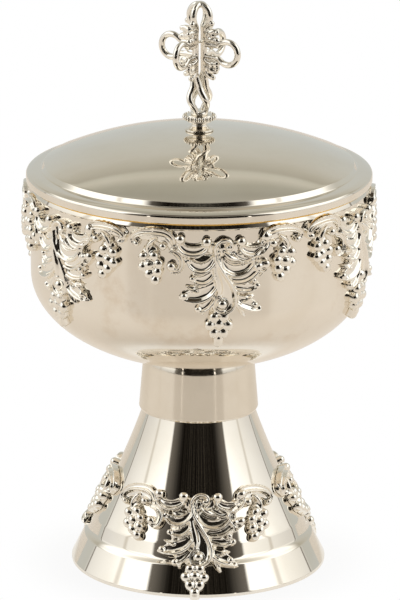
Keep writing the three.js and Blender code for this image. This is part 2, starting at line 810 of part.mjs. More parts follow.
const flatCasting = drawnCasting();
const castingPitch = (2 * Math.PI * (bowlRadius + castingRelief / 2)) / cupCastings;
const castingWidth = castingPitch - castingJointGap;
const cupWall = cupSide();
let cupWallLength = 0;
for (let i = 0; i + 1 < cupWall.length; i += 1) {
  cupWallLength += Math.hypot(cupWall[i + 1][0] - cupWall[i][0], cupWall[i + 1][1] - cupWall[i][1]);
}
const cupCastingStart = cupWallLength + gildedRimHeight - castingRimGap - castingHeight;
const cupCasting = bent(flatCasting, cupWall, cupCastingStart, castingWidth, seamGap, 0);
for (let i = 0; i < cupCastings; i += 1) {
  addPiece(`cup_casting_${i + 1}`, cupCasting, castSilver, cupCastingTurn + (360 * i) / cupCastings);
}
const footCasting = bent(
  flatCasting,
  footSide().slice(1),
  castingFloorGap,
  castingWidth,
  footCastingSeam,
  footCastingDroop,
);
for (let i = 0; i < footCastings; i += 1) {
  addPiece(`foot_casting_${i + 1}`, footCasting, castSilver, footCastingTurn + (360 * i) / footCastings);
}

addPiece('lid_dome', lidDome(), silver);
addPiece('lid_centring_ring', lidCentringRing(), silver);
addPiece('finial_spool', finialSpool(), castSilver);
addPiece('finial_beaded_ring', finialBeadedRing(), castSilver);
addPiece('finial_cross', finialCross(), castSilver);
addPiece('finial_stud', finialStud(), steel);
const finialWasher = washer(finialWasherRadius, finialWasherHeight, finialHoleRadius, finialWasherTopZ);
addPiece('finial_washer', finialWasher, steel);
addPiece('finial_nut', hexNut(finialNutWidth, finialNutHeight, finialHoleRadius, finialNutZ), steel);

export default ciborium;
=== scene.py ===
import math

import bpy
import numpy as np
from mathutils import Matrix, Vector


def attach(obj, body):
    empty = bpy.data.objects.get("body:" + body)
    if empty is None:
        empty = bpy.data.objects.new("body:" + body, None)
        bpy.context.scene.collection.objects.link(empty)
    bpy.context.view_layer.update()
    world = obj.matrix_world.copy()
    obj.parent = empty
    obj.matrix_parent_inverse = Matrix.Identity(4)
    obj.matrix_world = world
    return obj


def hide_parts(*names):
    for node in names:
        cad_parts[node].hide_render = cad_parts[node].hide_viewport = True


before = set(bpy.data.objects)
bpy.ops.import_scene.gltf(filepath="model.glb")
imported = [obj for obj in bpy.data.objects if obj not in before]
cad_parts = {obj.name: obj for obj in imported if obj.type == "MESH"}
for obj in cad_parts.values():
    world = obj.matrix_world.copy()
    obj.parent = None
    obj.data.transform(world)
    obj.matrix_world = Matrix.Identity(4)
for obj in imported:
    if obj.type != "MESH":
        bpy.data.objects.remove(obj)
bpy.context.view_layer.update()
scene = bpy.context.scene
scene.view_settings.view_transform = "Standard"
mm = 0.001

# Camera
# A long lens almost two metres away, a little above the rim, so that the lid's dome and the
# side of the cup both show. The cup's axis stands just left of the middle of the picture.
camera_place = (0, -1.890, 0.6577)
camera_pitch = 16.42  # degrees below the horizon
camera_roll = 0.16
picture_height = 600
axis_offset = 1.1  # pixels from the middle of the picture to the cup's axis


def new_object(name, data):
    """An object of the scene."""
    thing = bpy.data.objects.new(name, data)
    scene.collection.objects.link(thing)
    return thing


camera_data = bpy.data.cameras.new("camera")
camera_data.lens = 317.3
camera_data.sensor_width = 36
camera_data.shift_x = axis_offset / picture_height
camera_data.clip_end = 30
camera = new_object("camera", camera_data)
camera.location = camera_place
camera.rotation_mode = "ZXY"
camera.rotation_euler = (math.radians(90 - camera_pitch), 0, math.radians(camera_roll))
scene.camera = camera

# Studio
# Two tall white panels stand left and right, a pale wall behind and a dark curtain round the
# camera. The silver mirrors all of them; the camera itself sees only white behind the cup.
plain_white = (1, 1, 1, 1)
panel_white = (1.4, 1.4, 1.38)
panel_seam = (0.55, 0.50, 0.42)
panel_frame = (0.10, 0.08, 0.06)
curtain_dark = (0.005, 0.004, 0.003)
curtain_fold = (0.085, 0.075, 0.060)
curtain_side = (0.17, 0.155, 0.135)
curtain_grey = (0.55, 0.53, 0.46)
gap_light = (2.0, 1.9, 1.75)
ceiling_dark = (0.055, 0.043, 0.030)
curtain_edge = 50.5  # degrees to each side of the camera
curtain_folds = 17.0
gap_azimuth = 33  # two narrow slits of light low in the curtain
panel_back_edge = 121
wall_bend = 0.017
wall_bend_reach = 28  # degrees from the middle of the wall
wall_start = 20  # degrees below the horizon

# the panels' colours by their degrees above straight down, and the wall's above its start
panel_colours = [
    (0, (0.45, 0.44, 0.43)), (88, (0.50, 0.49, 0.48)), (96, (0.58, 0.575, 0.57)), (108, (0.78, 0.78, 0.77)),
    (114, (1, 1, 1)), (138, (1, 1, 1)), (147, (0.68, 0.66, 0.62)), (157, (0.44, 0.42, 0.38)),
    (168, (0.30, 0.28, 0.25)), (180, (0.14, 0.13, 0.11)),
]
wall_colours = [
    (0, (0.86, 0.84, 0.80)), (12, (0.65, 0.66, 0.66)), (19, (0.60, 0.625, 0.60)),
    (28, (0.577, 0.597, 0.583)), (48, (0.577, 0.58, 0.54)), (55, (0.565, 0.555, 0.505)),
    (60, (0.515, 0.499, 0.436)), (65, (0.45, 0.43, 0.37)), (67, (0.57, 0.56, 0.49)),
    (69.5, (0.60, 0.58, 0.51)), (75, (0.43, 0.42, 0.36)), (81, (0.385, 0.375, 0.325)),
    (92, (0.46, 0.44, 0.39)), (104, (0.30, 0.28, 0.24)),
]


def add(tree, kind, inputs=None, **settings):
    """A new node, with its settings, and values or sockets for its inputs."""
    node = tree.nodes.new(kind)
    for name, value in settings.items():
        setattr(node, name, value)
    for key, value in (inputs or {}).items():
        if isinstance(value, bpy.types.NodeSocket):
            tree.links.new(value, node.inputs[key])
        else:
            node.inputs[key].default_value = value
    return node


def made(tree, kind, inputs=None, **settings):
    """The first output of a new node."""
    return add(tree, kind, inputs, **settings).outputs[0]


def calc(tree, operation, *values):
    """The result of a math node."""
    return made(tree, "ShaderNodeMath", dict(enumerate(values)), operation=operation)


def times(tree, first, *others):
    """The product of values."""
    for other in others:
        first = calc(tree, "MULTIPLY", first, other)
    return first


def gap(tree, first, second):
    """How far two values are apart."""
    return calc(tree, "ABSOLUTE", calc(tree, "SUBTRACT", first, second))


def ease(tree, value, low, high, start=0.0, end=1.0):
    """A smooth step from start to end as the value goes from low to high."""
    limits = {"Value": value, "From Min": low, "From Max": high, "To Min": start, "To Max": end}
    return made(tree, "ShaderNodeMapRange", limits, interpolation_type="SMOOTHSTEP")


def ramp(tree, factor, stops, whole):
    """A colour ramp through stops of place and colour, with places out of a whole."""
    node = add(tree, "ShaderNodeValToRGB", {"Fac": calc(tree, "DIVIDE", factor, whole)})
    elements = node.color_ramp.elements
    while len(elements) < len(stops):
        elements.new(0.5)
    for element, (place, colour) in zip(elements, stops):
        element.position = place / whole
        element.color = (*colour, 1)
    return node.outputs["Color"]


def blend(tree, factor, first, second):
    """The mix of two colours."""
    node = add(tree, "ShaderNodeMix", {0: factor}, data_type="RGBA")
    for socket, value in ((node.inputs[6], first), (node.inputs[7], second)):
        if isinstance(value, bpy.types.NodeSocket):
            tree.links.new(value, socket)
        else:
            socket.default_value = (*value, 1)
    return node.outputs[2]


def end_shader(tree, kind, shader):
    """Ends a tree with its output node."""
    tree.links.new(shader, add(tree, kind).inputs["Surface"])


def by_ray(tree, mirrored, seen):
    """One shader for what the silver mirrors and another for what the camera sees."""
    straight = add(tree, "ShaderNodeLightPath").outputs["Is Camera Ray"]
    return made(tree, "ShaderNodeMixShader", {0: straight, 1: mirrored, 2: seen})


world = bpy.data.worlds.new("studio")
scene.world = world
world.use_nodes = True
sky = world.node_tree
sky.nodes.clear()
way = add(sky, "ShaderNodeSeparateXYZ", {0: add(sky, "ShaderNodeTexCoord").outputs["Generated"]}).outputs
turn = calc(sky, "ARCTAN2", way["X"], times(sky, way["Y"], -1))
azimuth = times(sky, calc(sky, "ABSOLUTE", turn), math.degrees(1))
elevation = times(sky, calc(sky, "ARCSINE", way["Z"]), math.degrees(1))

# the curtain with its folds, its paler sides, its two slits and its upper edge
folds = {"W": times(sky, turn, curtain_folds), "Detail": 3.0}
fold_light = ease(sky, made(sky, "ShaderNodeTexNoise", folds, noise_dimensions="1D"), 0.52, 0.66)
fold_light = times(sky, fold_light, ease(sky, azimuth, 4, 30, 1, 0.3))
curtain = blend(sky, fold_light, curtain_dark, curtain_fold)
side_light = times(sky, ease(sky, azimuth, 27, 52), ease(sky, elevation, 42, 54, 1, 0.45))
curtain = blend(sky, side_light, curtain, curtain_side)
slit = ease(sky, gap(sky, azimuth, gap_azimuth), 0.6, 1.4, 1, 0)
curtain = blend(sky, times(sky, slit, ease(sky, elevation, 11, 15, 1, 0)), curtain, gap_light)
grey_band = times(sky, ease(sky, elevation, 49, 51), ease(sky, elevation, 56, 58, 1, 0))
curtain = blend(sky, ease(sky, elevation, 52, 56), curtain, ceiling_dark)
curtain = blend(sky, grey_band, curtain, curtain_grey)

# the panels with a slanting seam
panel = ramp(sky, calc(sky, "ADD", elevation, 90), panel_colours, 180)
panel = made(sky, "ShaderNodeVectorMath", {0: panel, 1: panel_white}, operation="MULTIPLY")
seam_shade = ease(sky, gap(sky, azimuth, ease(sky, elevation, 15, 45, 84, 68)), 0.5, 3.5, 0.55, 0)
panel = blend(sky, seam_shade, panel, panel_seam)

# the wall behind, which the panels' dark frames set off
bend = calc(sky, "POWER", calc(sky, "MINIMUM", calc(sky, "SUBTRACT", 180, azimuth), wall_bend_reach), 2)
height = calc(sky, "ADD", calc(sky, "ADD", elevation, times(sky, bend, wall_bend)), wall_start)
wall = ramp(sky, height, wall_colours, 110)
back_edge = ease(sky, elevation, 20, 36, panel_back_edge, 146)
back_blur = ease(sky, elevation, 10, 18, -1.5, -24)
room = blend(sky, ease(sky, calc(sky, "SUBTRACT", azimuth, back_edge), back_blur, 4), panel, wall)
frame_line = ease(sky, gap(sky, azimuth, panel_back_edge), 0.4, 1.4, 0.75, 0)
frame_line = times(sky, frame_line, ease(sky, elevation, 11, 14, 1, 0))
room = blend(sky, frame_line, room, panel_frame)
front_edge = calc(sky, "SUBTRACT", azimuth, ease(sky, elevation, 60, 68, curtain_edge, 85))
in_front = ease(sky, front_edge, ease(sky, elevation, 30, 50, -2.5, -10), 1.0, 1, 0)
in_front = times(sky, in_front, ease(sky, elevation, 84, 88, 1, 0))
room = blend(sky, in_front, room, curtain)
mirrored, seen = (made(sky, "ShaderNodeBackground", {"Color": colour}) for colour in (room, plain_white))
end_shader(sky, "ShaderNodeOutputWorld", by_ray(sky, mirrored, seen))

# Floor
# A wide cream tabletop with a slight polish, which the cup mirrors. Towards the camera it goes
# over into plain white, and only the soft shadow under the foot stays. In what the silver
# mirrors, the tabletop also glows with painted light, cream all over and white close to the foot.
floor_reach = 4.0
floor_depth = 0.05 * mm  # below the foot
floor_colour = (0.92, 0.86, 0.79)
floor_grain = (0.90, 0.83, 0.76)
floor_far = (0.05, 0.04, 0.03)
shadow_share = 0.1
shadow_reach = (0.048, 0.075)
table_front = 1.0  # metres from the cup to the table's front edge
# painted light: the tabletop's glow in what the silver mirrors, whiter close to the foot
glow_colour = (0.76, 0.69, 0.62)
glow_far = (0.03, 0.025, 0.02)
glow_share = 0.42
foot_glow_white = (1.05, 1.04, 1.02)
foot_glow_reach = (0.052, 0.085)
foot_glow_share = 0.65


def new_material(name):
    """An empty node material, its tree and the place on the piece."""
    material = bpy.data.materials.new(name)
    material.use_nodes = True
    tree = material.node_tree
    tree.nodes.clear()
    return material, tree, add(tree, "ShaderNodeTexCoord").outputs["Object"]


def noise(tree, place, scale, detail, roughness=0.5):
    """A soft, even pattern without repeats."""
    inputs = {"Vector": place, "Scale": scale, "Detail": detail, "Roughness": roughness}
    return made(tree, "ShaderNodeTexNoise", inputs)


floor_mesh = bpy.data.meshes.new("floor")
corners = [(x * floor_reach, y * floor_reach, -floor_depth) for x, y in ((-1, -1), (1, -1), (1, 1), (-1, 1))]
floor_mesh.from_pydata(corners, [], [(0, 1, 2, 3)])
floor = new_object("floor", floor_mesh)

top, tree, place = new_material("tabletop")
distance = add(tree, "ShaderNodeVectorMath", {0: place}, operation="LENGTH").outputs["Value"]
depth = times(tree, add(tree, "ShaderNodeSeparateXYZ", {0: place}).outputs["Y"], -1)
past_edge = ease(tree, depth, table_front, table_front + 0.4)
cream = blend(tree, noise(tree, place, 9.0, 4.0), floor_colour, floor_grain)
cream = blend(tree, past_edge, cream, floor_far)
polish = {"Base Color": cream, "Roughness": 0.25, "IOR": 1.5, "Specular IOR Level": 0.5}
polished = made(tree, "ShaderNodeBsdfPrincipled", polish)
# painted light: close to the foot the tabletop glows white in what the silver mirrors
near = ease(tree, distance, *foot_glow_reach, 1, 0)
glow = blend(tree, near, glow_colour, foot_glow_white)
glow = made(tree, "ShaderNodeEmission", {"Color": blend(tree, past_edge, glow, glow_far)})
share = calc(tree, "MAXIMUM", glow_share, times(tree, near, foot_glow_share))
mirrored = made(tree, "ShaderNodeMixShader", {0: share, 1: polished, 2: glow})
lit = made(tree, "ShaderNodeBsdfDiffuse", {"Color": (0.95, 0.95, 0.95, 1)})
white = made(tree, "ShaderNodeEmission", {"Color": plain_white})
fade = ease(tree, distance, *shadow_reach, 1 - shadow_share, 1)
seen = made(tree, "ShaderNodeMixShader", {0: fade, 1: lit, 2: white})
end_shader(tree, "ShaderNodeOutputMaterial", by_ray(tree, mirrored, seen))
floor_mesh.materials.append(top)

# Overhead lamp
# A big soft box above the cup gives the floor its shadow. The silver doesn't mirror it.
lamp_data = bpy.data.lights.new("overhead soft box", "AREA")
lamp_data.shape = "DISK"
lamp_data.size = 1.1
lamp_data.energy = 9
lamp = new_object("overhead soft box", lamp_data)
lamp.location = (0.15, 0.35, 1.6)
lamp.rotation_euler = (-Vector(lamp.location)).to_track_quat("-Z", "Y").to_euler()
lamp.visible_glossy = False

# Foot
# A hollow cone spun from one silver sheet, with a thin upright edge, a flared band up to a
# crease, and a slightly dished side. Its flat top is the seat of the collar.
foot_height = 59.5
foot_edge_radius = 47.7
foot_edge_height = 1.3
crease_radius = 42.6
crease_height = 11.0
shoulder_radius = 41.2
shoulder_height = 12.1
shoulder_rounding = 3.8
flare_end = 17.0  # the height where the shoulder's hollow runs into the side
foot_top_radius = 20.9
foot_hollowing = 1.25
foot_wall = 1.0
foot_steps = 60
stud_hole_radius = 3.3
arc_step = 11  # degrees between the points of a rounded corner
arc_margin = 0.12  # a straight side's last points stand this far before its arcs
wide_steps = 240
narrow_steps = 72
mark_pitch = 0.25  # between the fine turning marks
mark_relief = 0.01
mark_slant = 0.004
silver_bright = (0.90, 0.85, 0.765)
silver_toned = (0.86, 0.80, 0.70)
stain_brown = (0.70, 0.57, 0.42)


def new_tree(name, sockets):
    """A geometry tree with named inputs, its input node and its output socket."""
    tree = bpy.data.node_groups.new(name, "GeometryNodeTree")
    for label, kind in sockets:
        tree.interface.new_socket(label, in_out="INPUT", socket_type="NodeSocket" + kind)
    tree.interface.new_socket("Piece", in_out="OUTPUT", socket_type="NodeSocketGeometry")
    return tree, add(tree, "NodeGroupInput").outputs, add(tree, "NodeGroupOutput").inputs["Piece"]


def end_tree(tree, geometry, finish, output):
    """Ends a tree in plain geometry with its material."""
    real = made(tree, "GeometryNodeRealizeInstances", {"Geometry": geometry})
    dressed = made(tree, "GeometryNodeSetMaterial", {"Geometry": real, "Material": finish})
    tree.links.new(dressed, output)


def make_turning_tree():
    """Turns an outline of points in the XZ plane about Z, like metal on a lathe."""
    sockets = [("Outline", "Geometry"), ("Steps", "Int"), ("Crease angle", "Float"), ("Finish", "Material")]
    tree, given, output = new_tree("turned piece", sockets)
    count = add(tree, "GeometryNodeAttributeDomainSize", {0: given["Outline"]}).outputs["Point Count"]
    sizes = {"Vertices X": calc(tree, "ADD", given["Steps"], 1), "Vertices Y": count}
    grid = made(tree, "GeometryNodeMeshGrid", sizes)
    index = made(tree, "GeometryNodeInputIndex")
    row = calc(tree, "FLOOR", calc(tree, "DIVIDE", calc(tree, "ADD", index, 0.5), count))
    corner = calc(tree, "SUBTRACT", index, times(tree, row, count))
    position = made(tree, "GeometryNodeInputPosition")
    sampled = {"Geometry": given["Outline"], "Value": position, "Index": corner}
    spot = made(tree, "GeometryNodeSampleIndex", sampled, data_type="FLOAT_VECTOR")
    spot = add(tree, "ShaderNodeSeparateXYZ", {0: spot}).outputs
    angle = times(tree, calc(tree, "DIVIDE", row, given["Steps"]), 2 * math.pi)
    across = times(tree, spot["X"], calc(tree, "COSINE", angle))
    along = times(tree, spot["X"], calc(tree, "SINE", angle))
    turned = made(tree, "ShaderNodeCombineXYZ", {"X": across, "Y": along, "Z": spot["Z"]})
    moved = made(tree, "GeometryNodeSetPosition", {"Geometry": grid, "Position": turned})
    merged = made(tree, "GeometryNodeMergeByDistance", {"Geometry": moved, "Distance": 1e-6})
    smooth = made(tree, "GeometryNodeSetShadeSmooth", {0: merged}, domain="FACE")
    bend = add(tree, "GeometryNodeInputMeshEdgeAngle").outputs["Unsigned Angle"]
    sharp = made(tree, "FunctionNodeCompare", {0: bend, 1: given["Crease angle"]}, operation="GREATER_THAN")
    edges = {0: smooth, "Selection": sharp, "Shade Smooth": False}
    edged = made(tree, "GeometryNodeSetShadeSmooth", edges, domain="EDGE")
    end_tree(tree, edged, given["Finish"], output)
    return tree


def shaped_mesh(piece):
    """The mesh that a piece's modifier makes."""
    evaluated = piece.evaluated_get(bpy.context.evaluated_depsgraph_get())
    return bpy.data.meshes.new_from_object(evaluated)


def grow(name, source, tree, settings):
    """A plain object holding what a tree makes of a source mesh."""
    piece = new_object(name, source)
    modifier = piece.modifiers.new("shape", "NODES")
    modifier.node_group = tree
    for item in tree.interface.items_tree:
        if item.in_out == "INPUT" and item.name in settings:
            modifier[item.identifier] = settings[item.name]
    mesh = shaped_mesh(piece)
    piece.modifiers.remove(modifier)
    piece.data = mesh
    mesh.name = name
    return piece


def rounded(corners):
    """A closed outline of [radius, height, rounding] corners, with arcs at its rounded corners."""
    spots = [np.array(corner[:2], float) for corner in corners]
    outline = []
    for i, corner in enumerate(corners):
        rounding = corner[2] if len(corner) > 2 else 0
        if not rounding:
            outline.append(spots[i])
            continue
        back = spots[i - 1] - spots[i]
        ahead = spots[(i + 1) % len(spots)] - spots[i]
        back /= np.linalg.norm(back)
        ahead /= np.linalg.norm(ahead)
        half = math.acos(max(-1, min(1, float(back @ ahead)))) / 2
        middle = spots[i] + (back + ahead) / np.linalg.norm(back + ahead) * rounding / math.sin(half)
        start = spots[i] + back * rounding / math.tan(half) - middle
        end = spots[i] + ahead * rounding / math.tan(half) - middle
        sweep = math.pi - 2 * half
        steps = max(2, math.ceil(sweep / math.radians(arc_step)))
        for k in range(steps + 1):
            share = k / steps
            weights = math.sin((1 - share) * sweep), math.sin(share * sweep)
            outline.append(middle + (weights[0] * start + weights[1] * end) / math.sin(sweep))
    fine = []
    for here, there in zip(outline, outline[1:] + outline[:1]):
        run = np.linalg.norm(there - here)
        shares = [0, arc_margin / run, 1 - arc_margin / run] if run > 1.5 else [0]
        fine += [here + share * (there - here) for share in shares]
    return fine


turning_tree = make_turning_tree()


def turn_piece(name, outline, finish, steps=wide_steps, crease=35):
    """A turned piece from the closed outline of its section, in millimetres."""
    mesh = bpy.data.meshes.new(name)
    points = [(radius * mm, 0, height * mm) for radius, height in [*outline, outline[0]]]
    mesh.from_pydata(points, [(i, i + 1) for i in range(len(points) - 1)], [])
    settings = {"Steps": steps, "Crease angle": math.radians(crease), "Finish": finish}
    return grow(name, mesh, turning_tree, settings)


def dress(piece, body, slot, *nodes):
    """Says what body a piece moves with and hides the solids it stands for; its slot is not used."""
    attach(piece, body)
    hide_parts(*nodes)


def end_metal(material, colour, rough, marks, strength, depth):
    """Ends a material as metal with a fine relief."""
    tree = material.node_tree
    bump = made(tree, "ShaderNodeBump", {"Height": marks, "Strength": strength, "Distance": depth * mm})
    surface = {"Base Color": colour, "Metallic": 1.0, "Roughness": rough, "Normal": bump}
    end_shader(tree, "ShaderNodeOutputMaterial", made(tree, "ShaderNodeBsdfPrincipled", surface))
    return material


def silver(name, bright, toned, low, high, mark_depth, stains=None):
    """Polished silver plate: fine marks round the axis, faint toning and a soft haze."""
    material, tree, place = new_material(name)
    parts = add(tree, "ShaderNodeSeparateXYZ", {0: place}).outputs
    flat = made(tree, "ShaderNodeCombineXYZ", {"X": parts["X"], "Y": parts["Y"]})
    reach = add(tree, "ShaderNodeVectorMath", {0: flat}, operation="LENGTH").outputs["Value"]
    angle = times(tree, calc(tree, "ARCTAN2", parts["Y"], parts["X"]), mark_slant)
    rings = made(tree, "ShaderNodeCombineXYZ", {"X": reach, "Y": parts["Z"], "Z": angle})
    marks = noise(tree, rings, 1 / (mark_pitch * mm), 3.0)
    haze = times(tree, calc(tree, "ADD", noise(tree, place, 160.0, 5.0), marks), 0.5)
    rough = ease(tree, haze, 0.35, 0.65, low, high)
    tone = ease(tree, noise(tree, place, 38.0, 4.0, 0.6), 0.35, 0.75)
    colour = blend(tree, tone, bright, toned)
    if stains:
        patch = ease(tree, noise(tree, place, 42.0, 6.0, 0.65), 0.5, 0.7)
        patch = times(tree, patch, *(ease(tree, parts["Z"], *band) for band in stains))
        colour = blend(tree, patch, colour, stain_brown)
    return end_metal(material, colour, rough, marks, mark_depth, mark_relief)


mirror_silver = silver("mirror polished silver", silver_bright, silver_toned, 0.03, 0.06, 0.08)


def foot_side():
    """The dished side from the crease to the top."""
    points = []
    for i in range(1, foot_steps + 1):
        part = i / foot_steps
        dish = 4 * foot_hollowing * part * (1 - part)
        radius = crease_radius + part * (foot_top_radius - crease_radius) - dish
        points.append((radius, crease_height + part * (foot_height - crease_height)))
    return points


upper_side = [point for point in foot_side() if point[1] > flare_end]
under_side = [(radius - 1.05 * foot_wall, height - 0.45 * foot_wall) for radius, height in upper_side[:-1]]
foot_outline = rounded([
    (foot_edge_radius - 1.3, 0),
    (foot_edge_radius, 0, 0.4),
    (foot_edge_radius, foot_edge_height, 0.8),
    (crease_radius + 0.3, crease_height - 0.1, 1.2),
    (shoulder_radius, shoulder_height, shoulder_rounding),
    *upper_side,
    (stud_hole_radius, foot_height),
    (stud_hole_radius, foot_height - foot_wall),
    *reversed(under_side),
    (crease_radius - foot_wall - 0.6, crease_height + 0.2),
    (foot_edge_radius - foot_wall - 0.7, foot_edge_height),
    (foot_edge_radius - foot_wall - 0.6, 0),
])
foot = turn_piece("spun_foot", foot_outline, mirror_silver)
dress(foot, "vessel", "polished_silver", "foot_cone")

# Edge ring
# A square silver ring soldered inside the foot's edge. It stiffens the thin sheet, and the cup
# stands on it.
ring_outer = 45.6
ring_inner = 43.4
ring_height = 2.2

plain_silver = silver("plain silver", (0.84, 0.79, 0.70), (0.76, 0.70, 0.60), 0.16, 0.28, 0.25)
edge_ring_outline = rounded([
    (ring_inner, 0, 0.15),
    (ring_outer, 0, 0.15),
    (ring_outer - 0.3, ring_height, 0.3),
    (ring_inner, ring_height, 0.3),
])
edge_ring = turn_piece("foot_rim_ring", edge_ring_outline, plain_silver)
dress(edge_ring, "vessel", "polished_silver", "foot_edge_ring")

# Collar
# A turned sleeve between foot and cup, chamfered below and drawn in at its top, with fine
# polishing marks round its axis.
collar_height = 21.0
collar_low_radius = 22.3
collar_top_radius = 20.9
collar_chamfer = 0.4
collar_taper_height = 3.2
collar_taper = 0.9
collar_belly = 0.16
collar_wall = 1.2

cup_seat = foot_height + collar_height
taper_side = [
    (
        collar_top_radius - collar_taper * share + collar_belly * math.sin(math.pi * share),
        cup_seat - collar_taper_height * (1 - share),
    )
    for share in (i / 8 for i in range(9))
]
collar_outline = rounded([
    (collar_low_radius - collar_chamfer, foot_height),
    (collar_low_radius, foot_height + 2 * collar_chamfer, 0.3),
    *taper_side,
    (collar_top_radius - collar_taper - collar_wall, cup_seat),
    (collar_top_radius - collar_wall, cup_seat - collar_taper_height),
    (collar_low_radius - collar_wall, foot_height + 2 * collar_chamfer),
    (collar_low_radius - collar_chamfer - collar_wall, foot_height),
])
satin_collar = silver("satin collar silver", (0.86, 0.80, 0.70), (0.80, 0.73, 0.62), 0.07, 0.14, 0.12)
collar = turn_piece("turned_collar", collar_outline, satin_collar, crease=25)
dress(collar, "vessel", "satin_silver", "stem_collar")

# Cup
# The outer bowl, spun from silver sheet: a rounded bottom, an upright wall and a thickened edge
# that leans in under the gilt rim. Soldering the castings has left faint brown stains.
cup_height = 66.9
bowl_radius = 62.5
wall_flare = 0.2
bowl_curve_height = 32.5
bowl_steps = 48
cup_seat_radius = 19.5
shell_wall = 1.0
gilt_rim_height = 0.5
rim_edge = 0.8
rim_edge_height = 1.4
stain_share = 0.55

rim_radius = bowl_radius + wall_flare
gilt_rim_top = cup_seat + cup_height
shell_top = gilt_rim_top - gilt_rim_height
bowl_centre = cup_seat + bowl_curve_height


def bowl_side(seat_radius, seat, radius):
    """Part of an ellipse from a flat seat up to the straight wall."""
    start = math.asin(seat_radius / radius)
    depth = (bowl_centre - seat) / math.cos(start)
    angles = [start + i / bowl_steps * (math.pi / 2 - start) for i in range(bowl_steps + 1)]
    return [(radius * math.sin(angle), bowl_centre - depth * math.cos(angle)) for angle in angles]


def inset(side, distance):
    """The points of a side moved to its left, square to its direction."""
    path = np.array(side, float)
    way = np.gradient(path, axis=0)
    way /= np.linalg.norm(way, axis=1)[:, None]
    return [tuple(point) for point in path + distance * np.stack([-way[:, 1], way[:, 0]], axis=1)]


cup_side = bowl_side(cup_seat_radius, cup_seat, bowl_radius)
cup_outline = rounded([
    (stud_hole_radius, cup_seat),
    *cup_side,
    (rim_radius, shell_top - rim_edge_height - 0.5, 0.2),
    (rim_radius + rim_edge, shell_top - rim_edge_height, 0.3),
    (rim_radius + 0.15, shell_top),
    (rim_radius - shell_wall, shell_top),
    *reversed(inset(cup_side, shell_wall)[1:]),
    (cup_seat_radius, cup_seat + shell_wall),
    (stud_hole_radius, cup_seat + shell_wall),
])
stains = [
    ((cup_seat + 14) * mm, (cup_seat + 26) * mm, 0, stain_share),
    ((cup_seat + 50) * mm, (cup_seat + 64) * mm, 1, 0),
]
stained_silver = silver("polished silver with stains", silver_bright, silver_toned, 0.03, 0.06, 0.08, stains)
cup = turn_piece("spun_cup", cup_outline, stained_silver)
dress(cup, "vessel", "polished_silver", "cup_shell")

# Gilt liner
# The inner bowl, spun from silver sheet and gilt all over. Its rounded rim lies on the cup and
# shows as a thin gold line.
liner_gap = 0.4
liner_wall = 1.0
stud_flange_radius = 8.0
stud_flange_height = 1.7
rim_overlap = 0.25  # how far the gilt rim stands out past the wall
gilt_bright = (0.92, 0.63, 0.22)
gilt_deep = (0.84, 0.53, 0.15)

# gilding: warm metal with faint turning marks and soft worn patches
gilding, tree, place = new_material("gilding")
cloud = noise(tree, place, 55.0, 5.0)
colour = blend(tree, ease(tree, cloud, 0.35, 0.7), gilt_bright, gilt_deep)
height = add(tree, "ShaderNodeSeparateXYZ", {0: place}).outputs["Z"]
marks = made(tree, "ShaderNodeTexNoise", {"W": height, "Scale": 3500.0}, noise_dimensions="1D")
end_metal(gilding, colour, ease(tree, cloud, 0.3, 0.7, 0.10, 0.18), marks, 0.15, mark_relief)

liner_floor = cup_seat + shell_wall + stud_flange_height
liner_mouth = rim_radius - shell_wall - liner_gap - liner_wall
liner_side = bowl_side(stud_flange_radius, liner_floor, bowl_radius - shell_wall - liner_gap)
liner_outline = rounded([
    (0, liner_floor),
    *liner_side,
    (liner_mouth + liner_wall, shell_top),
    (rim_radius + rim_overlap, shell_top, 0.1),
    (rim_radius, gilt_rim_top, 0.1),
    (liner_mouth, gilt_rim_top, 0.3),
    *reversed(inset(liner_side, liner_wall)[1:]),
    (stud_flange_radius, liner_floor + liner_wall),
    (0, liner_floor + liner_wall),
])
liner = turn_piece("gilt_liner", liner_outline, gilding)
dress(liner, "vessel", "gilt", "cup_liner")

# Lid
# Spun in one piece from silver sheet: an upright skirt, an almost flat ledge, a hollow moulding
# and a shallow dome. It lies loose on the cup.
lid_seat = gilt_rim_top + 0.3
skirt_radius = rim_radius + 1.4
skirt_wall = 2.2
skirt_height = 3.1
skirt_round = 1.3
ledge_bend = (61.5, lid_seat + 4.0, 4.0)
ledge_inner_radius = 58.5
ledge_inner_height = 4.4  # above the skirt's lower edge
dome_radius = 57.3
dome_edge = lid_seat + 6.3
dome_rise = 12.2
dome_steps = 48
lid_wall = 1.2
lid_ceiling = lid_seat + 2.4
finial_hole_radius = 1.8


def dome_side(edge_radius, edge, top):
    """Part of a ball from the edge of the dome in to its hole."""
    rise = top - edge
    ball = (edge_radius**2 + rise**2) / (2 * rise)
    reach = [edge_radius + i / dome_steps * (finial_hole_radius - edge_radius) for i in range(dome_steps + 1)]
    return [(radius, top - ball + math.sqrt(ball**2 - radius**2)) for radius in reach]


dome_top = dome_edge + dome_rise
dome = dome_side(dome_radius, dome_edge, dome_top)
under_dome = dome_side(dome_radius - lid_wall, dome_edge - lid_wall, dome_top - lid_wall)
lid_outline = rounded([
    (skirt_radius - skirt_wall, lid_seat, 0.2),
    (skirt_radius, lid_seat, 0.3),
    (skirt_radius, lid_seat + skirt_height, skirt_round),
    ledge_bend,
    (ledge_inner_radius, lid_seat + ledge_inner_height, 0.9),
    (*dome[0], 0.25),
    *dome[1:],
    *reversed(under_dome),
    (dome_radius, lid_ceiling),
    (skirt_radius - skirt_wall, lid_ceiling),
])
lid = turn_piece("spun_lid", lid_outline, mirror_silver)
dress(lid, "lid", "polished_silver", "lid_dome")

# Ring inside the lid
# A plain silver ring soldered inside the lid. It drops into the cup's mouth and keeps the lid
# in its place.
lid_play = 0.6
lid_ring_wall = 1.2
lid_ring_depth = 5.5

